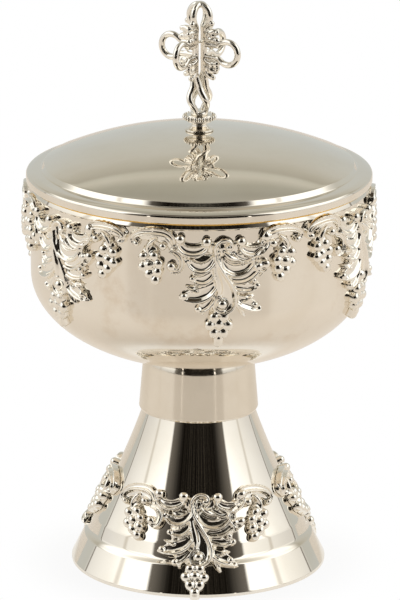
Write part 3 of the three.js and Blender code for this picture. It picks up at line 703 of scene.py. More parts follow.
lid_ring_outer = liner_mouth - lid_play
lid_ring_outline = rounded([
    (lid_ring_outer - lid_ring_wall, lid_seat - lid_ring_depth, 0.4),
    (lid_ring_outer, lid_seat - lid_ring_depth, 0.5),
    (lid_ring_outer, lid_ceiling),
    (lid_ring_outer - lid_ring_wall, lid_ceiling),
])
lid_ring = turn_piece("lid_inner_ring", lid_ring_outline, plain_silver)
dress(lid_ring, "lid", "polished_silver", "lid_centring_ring")

# Spool
# The turned silver spool that carries the cross, with a wide foot and a thin neck. The cross's
# stud clamps it to the dome.
spool_height = 4.2
# radius, height above the dome and rounding
spool_side = [
    (5.3, 0, 0.2), (5.3, 0.65, 0.25), (4.0, 1.0, 0.4), (2.9, 2.0, 0.8), (2.9, 3.0, 0.6), (4.7, 3.45, 0.2),
    (4.7, spool_height, 0.25),
]

spool_top = dome_top + spool_height
spool_outline = rounded([
    (finial_hole_radius, dome_top),
    *((radius, dome_top + height, rounding) for radius, height, rounding in spool_side),
    (finial_hole_radius, spool_top),
])
cast_silver = silver("cast silver", (0.90, 0.85, 0.765), (0.84, 0.78, 0.68), 0.05, 0.12, 0.05)
spool = turn_piece("turned_spool", spool_outline, cast_silver, narrow_steps)
dress(spool, "lid", "cast_silver", "finial_spool")

# Beaded ring
# A flat ring cast in silver, edged with small upright beads, and clamped between the spool and
# the cross.
bead_ring_height = 1.8
bead_ring_radius = 5.0
bead_count = 24
bead_place = 5.65
bead_half_width = 0.66
bead_half_height = 0.95


def make_bead_tree():
    """Sets beads at even steps round Z."""
    sizes = [(name, "Float") for name in ("Place", "Middle", "Half width", "Half height")]
    sockets = [("Ring", "Geometry"), *sizes, ("Beads", "Int"), ("Finish", "Material")]
    tree, given, output = new_tree("ring of beads", sockets)
    circle = made(tree, "GeometryNodeMeshCircle", {"Vertices": given["Beads"], "Radius": given["Place"]})
    lift = made(tree, "ShaderNodeCombineXYZ", {"Z": given["Middle"]})
    circle = made(tree, "GeometryNodeSetPosition", {0: circle, "Offset": lift})
    bead = made(tree, "GeometryNodeMeshUVSphere", {"Segments": 20, "Rings": 12, "Radius": 1.0})
    width = given["Half width"]
    size = made(tree, "ShaderNodeCombineXYZ", {"X": width, "Y": width, "Z": given["Half height"]})
    beads = {"Points": circle, "Instance": bead, "Scale": size}
    beads = made(tree, "GeometryNodeRealizeInstances", {0: made(tree, "GeometryNodeInstanceOnPoints", beads)})
    smooth = made(tree, "GeometryNodeSetShadeSmooth", {0: beads}, domain="FACE")
    both = add(tree, "GeometryNodeJoinGeometry")
    for part in (smooth, given["Ring"]):
        tree.links.new(part, both.inputs[0])
    end_tree(tree, both.outputs[0], given["Finish"], output)
    return tree


cross_seat = spool_top + bead_ring_height
bead_ring_outline = rounded([
    (finial_hole_radius, spool_top),
    (bead_ring_radius - 0.3, spool_top, 0.2),
    (bead_ring_radius, spool_top + 0.5, 0.3),
    (bead_ring_radius, cross_seat - 0.5, 0.3),
    (bead_ring_radius - 0.4, cross_seat, 0.2),
    (finial_hole_radius, cross_seat),
])
plain_ring = turn_piece("plain ring", bead_ring_outline, cast_silver, narrow_steps)
beads = {
    "Place": bead_place * mm,
    "Middle": (spool_top + bead_ring_height / 2) * mm,
    "Half width": bead_half_width * mm,
    "Half height": bead_half_height * mm,
    "Beads": bead_count,
    "Finish": cast_silver,
}
beaded_ring = grow("beaded_ring", plain_ring.data, make_bead_tree(), beads)
bpy.data.objects.remove(plain_ring)
dress(beaded_ring, "lid", "cast_silver", "finial_beaded_ring")

# Vine castings
# One vine ornament, cast in silver from a single pattern: a stem with a leaf to each side, two
# open scrolls above and three bunches of grapes. It is drawn flat and bent onto its piece.
casting_height = 43.5
casting_relief = 3.4
casting_gap = 0.5  # between neighbours on the cup
casting_voxel = 0.265
casting_spread = 10
cast_rounds = 2
cup_castings = 6
foot_castings = 3
casting_width = 2 * math.pi * (bowl_radius + casting_relief / 2) / cup_castings - casting_gap
casting_drop = 1.8  # from the gilt rim down to the castings
casting_clearance = 0.2  # above the ground
slope_reach = 3  # to each side of where a slope is taken
cup_casting_turn = 6.5  # degrees round, for the first
cup_casting_seam = -0.05  # how far a casting's back stands off its piece
foot_casting_turn = -1.5
foot_casting_seam = 0.1
foot_casting_start = 0.9
foot_casting_droop = 4.6  # how far its tips hang below its middle
foot_casting_squeeze = 0.97
foot_line_start = [(47.8, -1.2), (47.6, 2)]  # past the foot's edge, before the crease
relief_step = 0.2
relief_edge = 0.3  # the castings' height where they meet what carries them
relief_across = np.arange(-34, 34 + relief_step, relief_step)
relief_up = np.arange(-1, 45 + relief_step, relief_step)
line_step = 0.15
lip_place = 0.76  # out of a leaf's half width
floor_start = -0.6
floor_end = 0.12
crest_silver = (0.94, 0.90, 0.82)
# brown of the hollows: partly patina, partly painted shade in the crevices and at the relief's foot
patina_and_shade_brown = (0.21, 0.155, 0.11)
cast_grain_relief = 0.05

# each line is drawn through points of across, up, half width and height
vine_ground = [
    [(-6, 26, 4, 1.2), (-3, 24, 4.5, 1.4), (2, 23, 4.5, 1.4), (7, 23.5, 4, 1.3), (11, 25, 3.4, 1.1)],
    [(-7, 31.5, 2.8, 1.1), (-2, 30, 4, 1.3), (5, 30, 4, 1.3), (10, 31, 2.8, 1.1)],
    [(-4, 18.5, 3, 1.1), (0, 17, 4, 1.3), (5, 17, 3.4, 1.1)],
    [(-13.5, 37, 2, 1.1), (-9.5, 35.8, 2, 1.1), (-5, 37, 2, 1.2), (1.5, 36, 2.5, 1.3),
     (8, 37, 2, 1.2), (13, 35.3, 2, 1.1), (17.5, 37.5, 2, 1.1)],
    [(0, 12.5, 3.4, 2.0), (0, 9, 4.2, 2.3), (0, 5.5, 3.0, 2.2), (0, 2.4, 1.5, 1.8)],
]
vine_stem = [
    (-1.0, 36.8, 1.0, 2.8), (-0.7, 34, 1.25, 3.0), (-0.2, 31, 1.5, 3.1), (0.3, 28.5, 1.7, 3.1),
    (1.2, 26, 2.1, 3.1),
    (2.0, 23.5, 2.5, 3.0), (2.4, 21, 3.0, 2.8), (2.2, 18.5, 3.6, 2.4), (2.0, 16.4, 3.8, 2.0),
]
vine_rods = [
    # the lip that runs down the stem and round its ball
    [(-1.3, 35.5, 0.7, 2.9), (-1.0, 33, 0.85, 3.2), (0.0, 30.4, 0.95, 3.4), (1.5, 27.8, 1.0, 3.5),
     (3.2, 25.2, 1.0, 3.5), (4.7, 22.5, 1.0, 3.5), (5.7, 19.6, 1.0, 3.4), (6.0, 17, 0.95, 3.3),
     (5.3, 14.3, 0.75, 3.2), (3.4, 12.6, 0.7, 3.1), (1.2, 12.2, 0.7, 3.0),
     (-0.9, 13, 0.7, 2.9), (-2.0, 14.9, 0.65, 2.9), (-1.8, 17, 0.6, 2.9), (-0.7, 18.5, 0.5, 2.8),
     (0.9, 18.7, 0.4, 2.6)],
    # the ridge on the stem's left
    [(-1.9, 31, 0.8, 2.9), (-1.5, 27.6, 1.0, 3.2), (-0.9, 24.6, 1.1, 3.2), (-0.3, 21.8, 1.0, 3.0),
     (0.2, 19.8, 0.7, 2.7)],
    # the curl at the top of the stem
    [(-1.5, 34.8, 0.7, 3.0), (-1.6, 36.9, 0.85, 3.3), (-0.4, 38.9, 0.95, 3.4), (1.7, 39.9, 1.0, 3.4),
     (3.8, 39.3, 0.95, 3.4), (4.7, 37.8, 0.85, 3.4), (4.1, 36.4, 0.7, 3.2)],
    # the bud beside it
    [(2.0, 35.0, 0.8, 2.4), (3.7, 33.6, 1.5, 3.2), (5.3, 32.6, 1.35, 3.1), (7.0, 32.0, 0.5, 2.3)],
]
vine_scrolls = [
    [(-4.6, 38.4, 1.2, 2.6), (-5.6, 36.9, 1.7, 3.0), (-7.4, 36.0, 2.1, 3.2), (-9.6, 35.7, 2.25, 3.2),
     (-12, 36.2, 2.1, 3.2), (-13.7, 37.6, 1.7, 3.0), (-14.4, 39.4, 1.2, 2.6)],
    [(8, 38.3, 1.2, 2.6), (8.8, 36.4, 1.7, 3.0), (10.5, 35.4, 2.05, 3.2), (13, 35.1, 2.25, 3.2),
     (15.5, 35.7, 2.1, 3.2), (17.2, 37.4, 1.7, 3.0), (17.9, 39.4, 1.2, 2.6)],
]
vine_lobes = [
    # on the right
    [(0.9, 32.2, 0.9, 2.4), (2.7, 29.6, 1.9, 3.1), (5.6, 28.2, 2.4, 3.3), (8.8, 28.7, 2.3, 3.3),
     (11.3, 30.4, 1.6, 3.0), (12.8, 32.4, 0.7, 2.4)],
    [(5.6, 34.4, 0.7, 2.3), (7.8, 32.9, 1.4, 3.0), (10.2, 32.2, 1.3, 3.0), (12.0, 33.0, 0.6, 2.4)],
    [(3.4, 25.4, 0.9, 2.3), (6.2, 24.9, 1.7, 3.1), (9.4, 25.3, 2.0, 3.3), (12.2, 27.0, 1.9, 3.2),
     (14.6, 29.2, 1.4, 3.0), (16.6, 30.9, 0.6, 2.4)],
    [(12.6, 26.0, 0.7, 2.4), (14.8, 26.6, 1.1, 2.8), (16.8, 28.0, 0.5, 2.3)],
    [(4.8, 22.4, 0.9, 2.3), (7.0, 22.0, 1.7, 3.0), (9.6, 21.6, 1.9, 3.2), (12.4, 21.7, 1.4, 3.0),
     (15.0, 22.3, 0.6, 2.3)],
    [(5.9, 18.6, 1.0, 2.2), (7.8, 16.8, 2.2, 2.9), (10.4, 15.4, 2.6, 3.1), (13.2, 14.2, 1.9, 2.9),
     (16.3, 12.8, 0.4, 2.2)],
    [(9.2, 17.2, 1.0, 2.6), (11.2, 18.2, 0.9, 2.4), (13.2, 18.2, 0.3, 1.9)],
    [(7.4, 14.6, 1.0, 2.6), (8.6, 12.4, 0.9, 2.3), (9.8, 10.6, 0.3, 1.8)],
    # on the left
    [(-1.8, 33.2, 0.8, 2.3), (-3.4, 30.8, 1.7, 3.1), (-5.9, 29.4, 2.2, 3.3), (-8.6, 29.8, 2.1, 3.2),
     (-10.6, 31.4, 1.4, 2.9), (-12.0, 33.2, 0.6, 2.4)],
    [(-1.6, 28.4, 0.8, 2.3), (-3.2, 26.3, 1.6, 3.0), (-5.6, 24.9, 2.0, 3.2), (-8.0, 25.0, 1.5, 3.0),
     (-10.2, 25.6, 0.6, 2.4)],
    [(-0.9, 23.6, 0.9, 2.4), (-2.6, 21.8, 1.9, 3.1), (-4.8, 20.2, 2.8, 3.3), (-7.6, 19.2, 3.1, 3.3),
     (-10.9, 18.6, 2.2, 3.1), (-14.3, 18.4, 0.5, 2.3)],
    [(-8.0, 21.2, 1.0, 2.6), (-10.0, 21.8, 0.8, 2.4), (-12.0, 22.6, 0.3, 1.9)],
    [(-2.2, 18.0, 0.8, 2.3), (-3.8, 16.2, 1.7, 2.9), (-5.6, 14.8, 1.9, 3.0), (-7.4, 13.9, 1.1, 2.6),
     (-8.4, 13.2, 0.5, 2.2)],
]
wing_scrolls = [
    [(16.2, 37.8, 0.9, 2.4), (17.0, 40.2, 1.4, 3.0), (19.2, 42.0, 1.6, 3.2), (22.6, 42.6, 1.6, 3.2),
     (26.4, 42.4, 1.5, 3.1), (29.8, 41.5, 1.3, 3.0), (31.9, 39.7, 1.1, 2.8), (31.7, 37.9, 0.8, 2.5)],
    [(17.7, 35.5, 0.8, 2.4), (15.6, 34.9, 1.15, 3.0), (13.8, 33, 1.35, 3.2), (13.5, 30.7, 1.35, 3.2),
     (14.5, 28.6, 1.2, 3.1), (16.3, 27.9, 1.0, 2.9), (17.7, 28.8, 0.8, 2.6)],
]
wing_rods = [[(23.1, 39.8, 0.7, 2.4), (25, 38.2, 1.2, 2.8), (26.2, 36, 1.0, 2.7), (25.6, 34, 0.7, 2.2)]]
wing_ground = [
    [(16.5, 37.5, 2, 1.1), (21, 40.5, 2.6, 1.1), (26.5, 41, 2.4, 1.1), (31.5, 40.3, 1.8, 1.1)],
    [(25.3, 34, 3.5, 2.0), (25.2, 30.5, 4.0, 2.3), (24.5, 27, 2.8, 2.2), (23.4, 24.8, 1.6, 1.8)],
]
vine_balls = [
    (-14.1, 40.1, 1.85, 1.7), (-4.5, 39.1, 1.85, 1.7), (8.1, 38.9, 1.85, 1.7), (17.6, 40.2, 1.9, 1.65),
    (1.2, 15.8, 2.05, 1.5), (3.3, 37.0, 1.15, 2.2),
]
# the bumps where the leaf's lobes end
leaf_tips = [
    (14.7, 29.3, 1.35, 1.9), (16.3, 30.5, 0.95, 1.7), (12.6, 31.8, 1.0, 1.8), (12.9, 24.0, 1.1, 1.8),
    (14.3, 22.0, 1.25, 1.6), (13.4, 14.9, 1.2, 1.6), (15.3, 13.4, 0.8, 1.3), (11.2, 13.4, 1.0, 1.5),
    (-12.7, 18.8, 1.4, 1.6), (-10.2, 17.2, 1.0, 1.6), (-9.7, 25.4, 1.2, 1.7), (-8.2, 23.4, 0.9, 1.6),
    (-11.2, 32.2, 1.0, 1.7), (-7.7, 14.0, 1.2, 1.5), (-5.9, 12.6, 0.9, 1.3),
]
wing_balls = [(20.4, 37.2, 1.5, 1.8), (17.4, 29.9, 1.75, 1.7), (30.4, 37.5, 1.2, 1.6)]
grape_radius = 1.95
grape_lift = 1.5
bottom_grapes = [
    (-1.8, 11.2), (1.8, 11.2), (-3.4, 8.2), (0.0, 8.6), (3.4, 8.0), (-1.8, 5.2), (1.7, 5.2), (0, 2.6),
    (0, 1.2),
]
wing_grapes = [
    (27.7, 33), (23.7, 33.5), (25.45, 30), (21.95, 30.7), (27.9, 29.1), (22.3, 27.6), (25.45, 26.6),
    (23.2, 24.4),
]


def make_ball_tree():
    """Sets a ball on every point, as large as the point says."""
    tree, given, output = new_tree("balls on points", [("Points", "Geometry"), ("Segments", "Int")])
    segments = given["Segments"]
    ball = {"Segments": segments, "Rings": calc(tree, "DIVIDE", segments, 2)}
    ball = made(tree, "GeometryNodeMeshUVSphere", ball)
    size = made(tree, "GeometryNodeInputNamedAttribute", {0: "half_width"}, data_type="FLOAT")
    balls = {"Points": given["Points"], "Instance": ball, "Scale": size}
    balls = made(tree, "GeometryNodeInstanceOnPoints", balls)
    tree.links.new(made(tree, "GeometryNodeRealizeInstances", {0: balls}), output)
    return tree


def make_surface_tree():
    """Evens out a cast surface, keeps its back flat and marks its hollows."""
    sockets = [("Casting", "Geometry"), ("Rounds", "Int"), ("Spread", "Int"), ("Finish", "Material")]
    tree, given, output = new_tree("cast surface", sockets)
    here = made(tree, "GeometryNodeInputPosition")
    even = {0: here, "Iterations": given["Rounds"], "Weight": 0.5}
    even = made(tree, "GeometryNodeBlurAttribute", even, data_type="FLOAT_VECTOR")
    spot = add(tree, "ShaderNodeSeparateXYZ", {0: even}).outputs
    flat = calc(tree, "MAXIMUM", spot["Z"], 0.0)
    spot = made(tree, "ShaderNodeCombineXYZ", {"X": spot["X"], "Y": spot["Y"], "Z": flat})
    body = made(tree, "GeometryNodeSetPosition", {0: given["Casting"], "Position": spot})
    height = add(tree, "ShaderNodeSeparateXYZ", {0: made(tree, "GeometryNodeInputPosition")}).outputs["Z"]
    around = {0: height, "Iterations": given["Spread"], "Weight": 1.0}
    around = made(tree, "GeometryNodeBlurAttribute", around, data_type="FLOAT")
    # how far a point lies below its surroundings; the cast silver darkens there with patina and painted shade
    hollow = {"Geometry": body, "Name": "hollow", "Value": calc(tree, "SUBTRACT", around, height)}
    body = made(tree, "GeometryNodeStoreNamedAttribute", hollow, data_type="FLOAT", domain="POINT")
    body = made(tree, "GeometryNodeSetShadeSmooth", {0: body}, domain="FACE")
    end_tree(tree, body, given["Finish"], output)
    return tree


ball_tree = make_ball_tree()
surface_tree = make_surface_tree()


def rod_cut(share):
    """The height across a round rod."""
    return np.sqrt(np.clip(1 - share**2, 0, 1))


def ground_cut(share):
    """The height across low ground, which is level in its middle."""
    return np.clip(1 - share**2, 0, 1) ** 0.35


def leaf_cut(near, deep):
    """The cut across a hollowed leaf or scroll: a near lip, a hollow and a rounded lower rim."""

    def cut(side):
        share = np.abs(side)
        edge = np.sqrt(np.clip(1 - ((share - lip_place) / (1 - lip_place)) ** 2, 0, 1))
        fall = np.clip((side + lip_place) / (lip_place + floor_start), 0, 1)
        rise = np.clip((side - floor_end) / (lip_place - floor_end), 0, 1)
        fall, rise = (part * part * (3 - 2 * part) for part in (fall, rise))
        hollow = near + (deep - near) * fall + (1 - deep) * rise
        return np.where(share < lip_place, hollow, np.where(side < 0, near, 1) * edge)

    return cut


def fine_line(points):
    """Points at fine steps on a smooth curve through drawn points."""
    path = np.array(points, float)
    path = np.vstack([2 * path[0] - path[1], path, 2 * path[-1] - path[-2]])
    fine = []
    for a, b, c, d in zip(path, path[1:], path[2:], path[3:]):
        count = max(2, math.ceil(np.linalg.norm((c - b)[:2]) / line_step))
        t = np.arange(count)[:, None] / count
        curve = (c - a) * t + (2 * a - 5 * b + 4 * c - d) * t**2 + (3 * b - a - 3 * c + d) * t**3
        fine.append(b + 0.5 * curve)
    return np.vstack([*fine, path[-2:-1]])


def raise_line(relief, line, cut):
    """Raises the relief to the cut of a drawn line, where that is higher."""
    fine = fine_line(line)
    reach = fine[:, 2].max()
    window = []
    for places, column in ((relief_across, 0), (relief_up, 1)):
        low, high = fine[:, column].min() - reach, fine[:, column].max() + reach
        window.append(slice(*np.searchsorted(places, (low, high))))
    spots = np.stack(np.meshgrid(relief_across[window[0]], relief_up[window[1]], indexing="ij"), axis=-1)
    shares = np.linalg.norm(spots[:, :, None] - fine[:, :2], axis=-1) / fine[:, 2]
    nearest = shares.argmin(axis=-1)
    share = shares.min(axis=-1)
    way = np.gradient(fine[:, :2], axis=0)[nearest]
    apart = spots - fine[nearest, :2]
    lower = way[..., 1] * apart[..., 0] - way[..., 0] * apart[..., 1]
    if line[-1][0] < line[0][0]:
        lower = -lower
    side = np.where(lower > 0, share, -share)
    height = np.where(share < 1, fine[nearest, 3] * cut(side), 0)
    relief[tuple(window)] = np.maximum(relief[tuple(window)], height)


def relief_mesh(name, relief):
    """A closed mesh with a flat back from heights on the grid."""
    body = relief > relief_edge
    cells = body[1:, 1:] | body[:-1, 1:] | body[1:, :-1] | body[:-1, :-1]
    across, up = np.meshgrid(relief_across, relief_up, indexing="ij")
    front = np.stack([across, up, np.maximum(relief, relief_edge)], axis=-1).reshape(-1, 3)
    back = front * (1, 1, 0)
    row = len(relief_up)
    count = len(front)
    i, j = np.nonzero(cells)
    ring = np.stack([i * row + j, (i + 1) * row + j, (i + 1) * row + j + 1, i * row + j + 1], axis=1)
    faces = [ring, ring[:, ::-1] + count]
    padded = np.pad(cells, 1)
    for side, (di, dj) in enumerate(((0, -1), (1, 0), (0, 1), (-1, 0))):
        open_side = ~padded[i + 1 + di, j + 1 + dj]
        start, end = ring[open_side, side], ring[open_side, (side + 1) % 4]
        faces.append(np.stack([end, start, start + count, end + count], axis=1))
    used, faces = np.unique(np.vstack(faces), return_inverse=True)
    mesh = bpy.data.meshes.new(name)
    mesh.from_pydata(np.vstack([front, back])[used].tolist(), [], faces.reshape(-1, 4).tolist())
    return mesh


def joined(name, parts):
    """One mesh from the meshes of several objects, which are deleted."""
    corners, faces = [], []
    for part in parts:
        first = len(corners)
        corners += [tuple(vertex.co) for vertex in part.data.vertices]
        faces += [[first + corner for corner in face.vertices] for face in part.data.polygons]
        bpy.data.objects.remove(part)
    mesh = bpy.data.meshes.new(name)
    mesh.from_pydata(corners, [], faces)
    return mesh


def fused(name, mesh, voxel, spread, finish):
    """One closed body from overlapping ones, evened out, with its hollows marked."""
    piece = new_object(name, mesh)
    remesh = piece.modifiers.new("fuse", "REMESH")
    remesh.mode = "VOXEL"
    remesh.voxel_size = voxel
    whole = shaped_mesh(piece)
    bpy.data.objects.remove(piece)
    return grow(name, whole, surface_tree, {"Rounds": cast_rounds, "Spread": spread, "Finish": finish})


def flipped(lines):
    """Drawn lines or points mirrored to the other side."""
    return [[(-point[0], *point[1:]) for point in line] for line in lines]


def drawn_casting(finish):
    """The flat casting, in millimetres."""
    relief = np.zeros((len(relief_across), len(relief_up)))
    layers = [
        (vine_ground + wing_ground + flipped(wing_ground), ground_cut),
        ([vine_stem], leaf_cut(0.8, 0.62)),
        (vine_lobes, leaf_cut(0.68, 0.56)),
        (vine_scrolls, leaf_cut(0.85, 0.52)),
        (wing_scrolls + flipped(wing_scrolls), leaf_cut(0.95, 0.55)),
        (vine_rods + wing_rods + flipped(wing_rods), rod_cut),
    ]
    for lines, cut in layers:
        for line in lines:
            raise_line(relief, line, cut)
    grapes = bottom_grapes + wing_grapes + [(-across, up) for across, up in wing_grapes]
    balls = [(*spot, grape_radius, grape_lift) for spot in grapes]
    balls += vine_balls + leaf_tips + wing_balls + flipped([wing_balls])[0]
    across, up = np.meshgrid(relief_across, relief_up, indexing="ij")
    for middle, height, radius, lift in balls:
        apart = (across - middle) ** 2 + (up - height) ** 2
        ball = np.where(apart < radius**2, lift + np.sqrt(np.clip(radius**2 - apart, 0, None)), 0)
        relief = np.maximum(relief, ball)
    return fused("vine", relief_mesh("vine", relief), casting_voxel, casting_spread, finish)


def along(side):
    """The lengths along a line of points, and the points."""
    path = np.array(side, float)
    lengths = np.concatenate([[0], np.cumsum(np.linalg.norm(np.diff(path, axis=0), axis=1))])
    return lengths, path


def bent(flat, name, side, start, seam, turn, droop=0, squeeze=1.0):
    """The flat casting bent onto a side profile, with its lowest grape at a length along it."""
    lengths, path = along(side)
    spots = np.empty(len(flat.vertices) * 3)
    flat.vertices.foreach_get("co", spots)
    across, up, out = spots.reshape(-1, 3).T
    length = start + squeeze * up - droop * (2 * across / casting_width) ** 2

    def spot(place):
        return np.stack([np.interp(place, lengths, path[:, k]) for k in (0, 1)])

    radius, height = spot(length)
    ahead, back = (spot(np.clip(length + step, 0, lengths[-1])) for step in (slope_reach, -slope_reach))
    way = ahead - back
    way /= np.linalg.norm(way, axis=0)
    out = out + seam
    angle = across / (radius + casting_relief / 2) + math.radians(turn)
    reach = radius + out * way[1]
    level = np.maximum(height - out * way[0], casting_clearance)
    placed = np.stack([reach * np.sin(angle), -reach * np.cos(angle), level], axis=1)
    mesh = flat.copy()
    mesh.name = name
    mesh.vertices.foreach_set("co", (placed * mm).ravel())
    mesh.update()
    return new_object(name, mesh)


# cast silver: polished on its crests, darkened brown in its hollows and where the relief meets
# its piece, partly the patina of old cast silver, partly painted shade
vine_silver, tree, place = new_material("vine cast silver")
hollow = add(tree, "ShaderNodeAttribute", attribute_name="hollow").outputs["Fac"]
grain = noise(tree, place, 700.0, 5.0)
depth = calc(tree, "ADD", hollow, times(tree, calc(tree, "SUBTRACT", grain, 0.5), 0.35))
colour = blend(tree, ease(tree, depth, 0.12, 0.62), crest_silver, patina_and_shade_brown)
end_metal(vine_silver, colour, ease(tree, depth, 0.0, 0.6, 0.07, 0.4), grain, 0.2, cast_grain_relief)

vine = drawn_casting(vine_silver)
cup_wall = [*cup_side, (rim_radius, shell_top)]
cup_start = along(cup_wall)[0][-1] + gilt_rim_height - casting_drop - casting_height
for i in range(cup_castings):
    turn = cup_casting_turn + 360 / cup_castings * i
    piece = bent(vine.data, f"cup_vine_{i + 1}", cup_wall, cup_start, cup_casting_seam, turn)
    dress(piece, "vessel", "cast_silver", f"cup_casting_{i + 1}")
foot_line = [*foot_line_start, (crease_radius + 0.2, crease_height), *foot_side()]
for i in range(foot_castings):
    turn = foot_casting_turn + 360 / foot_castings * i
    piece = bent(
        vine.data, f"foot_vine_{i + 1}", foot_line, foot_casting_start, foot_casting_seam, turn,
        foot_casting_droop, foot_casting_squeeze,
    )
    dress(piece, "vessel", "cast_silver", f"foot_casting_{i + 1}")
bpy.data.objects.remove(vine)

# Cross
# Cast in one piece with its openwork bulb: four twisted straps carry rods that go up and out
# into four arms with open loops, and a small sprig with berries fills each corner.
cross_turn = -32
cross_voxel = 0.21
cross_spread = 9
rod_gap = 2.25
rod_radius = 0.9
rod_step = 0.3
rod_rounds = 10
rod_sink = 1  # into the bulb's top
thin_wire = 0.5
bar_height = 2.9  # of the thin bar above the crossing
crossing_reach = 4
loop_tube_radius = 1.2
loop_radius = 4.4
swell_start = 6  # the rods swell to the loops' thickness from here out
swell_reach = 5
arm_reach = 12.1
arm_height = cross_seat + 24.5
top_reach = 12.8  # from the arms to the middle of the upper loop
bulb_seat_height = 1.6
bulb_seat_radius = 3.2
bulb_seat_step = 0.9
bulb_height = 14.2
bulb_radius = 4.15
bulb_twist = 100
bulb_swell = 9.6
strap_steps = 32
strap_sink = 0.8  # into the seat
strap_spread = 0.45
strap_belly = 0.42
ring_steps = 24

# in an arm's plane, out from the axis and up from the arms; the last number is a radius
lower_sprig = [
    [(2.0, -3.4, 1.0), (3.8, -4.6, 1.4), (5.8, -4.8, 1.4), (7.4, -4.2, 0.9)],
    [(3.0, -5.2, 1.0), (4.8, -6.8, 1.4), (6.6, -7.4, 1.2), (7.8, -7.2, 0.8)],
    [(2.2, -6.2, 0.9), (3.2, -8.0, 1.2), (4.6, -9.4, 1.1), (5.6, -10.2, 0.7)],
]
upper_sprig = [
    [(2.0, 3.6, 1.0), (3.9, 4.5, 1.4), (5.9, 4.4, 1.3), (7.2, 3.8, 0.9)],
    [(2.4, 5.4, 1.0), (4.2, 6.8, 1.4), (6.0, 7.4, 1.2), (7.4, 7.4, 0.8)],
    [(2.2, 7.6, 0.8), (3.4, 9.2, 1.0), (4.8, 10.2, 0.9)],
]
sprig_rings = [(5.6, -2.6, 1.2), (5.0, 2.4, 1.2)]
sprig_berries = [
    (7.4, -4.6, 1.3), (7.6, -6.2, 1.1), (5.9, -9.9, 1.0), (3.4, -6.2, 1.5), (5.0, -5.6, 1.3),
    (7.4, 4.2, 1.3), (7.6, 7.2, 1.0), (5.2, 10.4, 1.1), (3.8, 5.8, 1.5), (5.8, 6.0, 1.3),
]


def make_rod_tree():
    """Round cast rods along lines, as thick as each of their points says."""
    tree, given, output = new_tree("rod along a line", [("Lines", "Geometry"), ("Step", "Float")])
    curve = made(tree, "GeometryNodeMeshToCurve", {0: given["Lines"]})
    curve = made(tree, "GeometryNodeCurveSplineType", {0: curve}, spline_type="CATMULL_ROM")
    curve = made(tree, "GeometryNodeResampleCurve", {0: curve, "Length": given["Step"]}, mode="LENGTH")
    cut = made(tree, "GeometryNodeCurvePrimitiveCircle", {"Resolution": 16, "Radius": 1.0})
    width = made(tree, "GeometryNodeInputNamedAttribute", {0: "half_width"}, data_type="FLOAT")
    swept = {"Curve": curve, "Profile Curve": cut, "Scale": width, "Fill Caps": True}
    tree.links.new(made(tree, "GeometryNodeCurveToMesh", swept), output)
    return tree


def dense(points, step, rounds):
    """Points at even steps along a broken line, with its corners smoothed in a number of rounds."""
    lengths, path = along(points)
    places = np.linspace(0, lengths[-1], int(lengths[-1] / step) + 1)
    fine = np.stack([np.interp(places, lengths, path[:, k]) for k in range(path.shape[1])], axis=1)
    for _ in range(rounds):
        fine[1:-1] = 0.25 * fine[:-2] + 0.5 * fine[1:-1] + 0.25 * fine[2:]
    return fine


def upright(turn, out, up):
    """A point of an arm's plane."""
    angle = math.radians(turn)
    return (out * math.cos(angle), out * math.sin(angle), arm_height + up)


def cross_line():
    """The line of the cast rod: up one side, round three loops and down the other side."""
    entry = math.asin(rod_gap / loop_radius)

    def loop(out, up, heading):
        sweep = 2 * (math.pi - entry)
        angles = [heading + math.pi + entry + i / ring_steps * sweep for i in range(ring_steps + 1)]
        return [(out + loop_radius * math.cos(a), up + loop_radius * math.sin(a)) for a in angles]

    low = cross_seat + bulb_seat_height + bulb_height - rod_sink - arm_height
    return [
        (rod_gap, low),
        (rod_gap, -rod_gap),
        *loop(arm_reach, 0, 0),
        (rod_gap, rod_gap),
        *loop(0, top_reach, math.pi / 2),
        (-rod_gap, rod_gap),
        *loop(-arm_reach, 0, math.pi),
        (-rod_gap, -rod_gap),
        (-rod_gap, low),
    ]


def bulb_line(turn):
    """One twisted strap of the bulb, from its seat up to the rods."""
    points = []
    for i in range(strap_steps + 1):
        share = i / strap_steps
        swell = math.sin(math.pi * min(1, share * bulb_height / bulb_swell)) ** 2
        reach = rod_gap + (bulb_radius - rod_gap) * swell + strap_spread * (1 - share) ** 6
        angle = math.radians(turn + bulb_twist * (1 - share))
        height = cross_seat + bulb_seat_height - strap_sink + share * (bulb_height + strap_sink)
        thickness = rod_radius + strap_belly * math.sin(math.pi * share)
        points.append((reach * math.cos(angle), reach * math.sin(angle), height, thickness))
    return points


def solid_lines_mesh(name, lines):
    """A mesh of open lines of [x, y, z, half width] points."""
    mesh = bpy.data.meshes.new(name)
    points = [tuple(map(float, point)) for line in lines for point in line]
    edges = []
    first = 0
    for line in lines:
        edges += [(first + i, first + i + 1) for i in range(len(line) - 1)]
        first += len(line)
    mesh.from_pydata([point[:3] for point in points], edges, [])
    layer = mesh.attributes.new("half_width", "FLOAT", "POINT")
    layer.data.foreach_set("value", [point[3] for point in points])
    return mesh


def arm_rod(turn, out, up):
    """A point of the cast rod, which swells towards the loops."""
    share = min(1, max(0, (max(abs(out), up) - swell_start) / swell_reach))
    return (*upright(turn, out, up), rod_radius + (loop_tube_radius - rod_radius) * share)


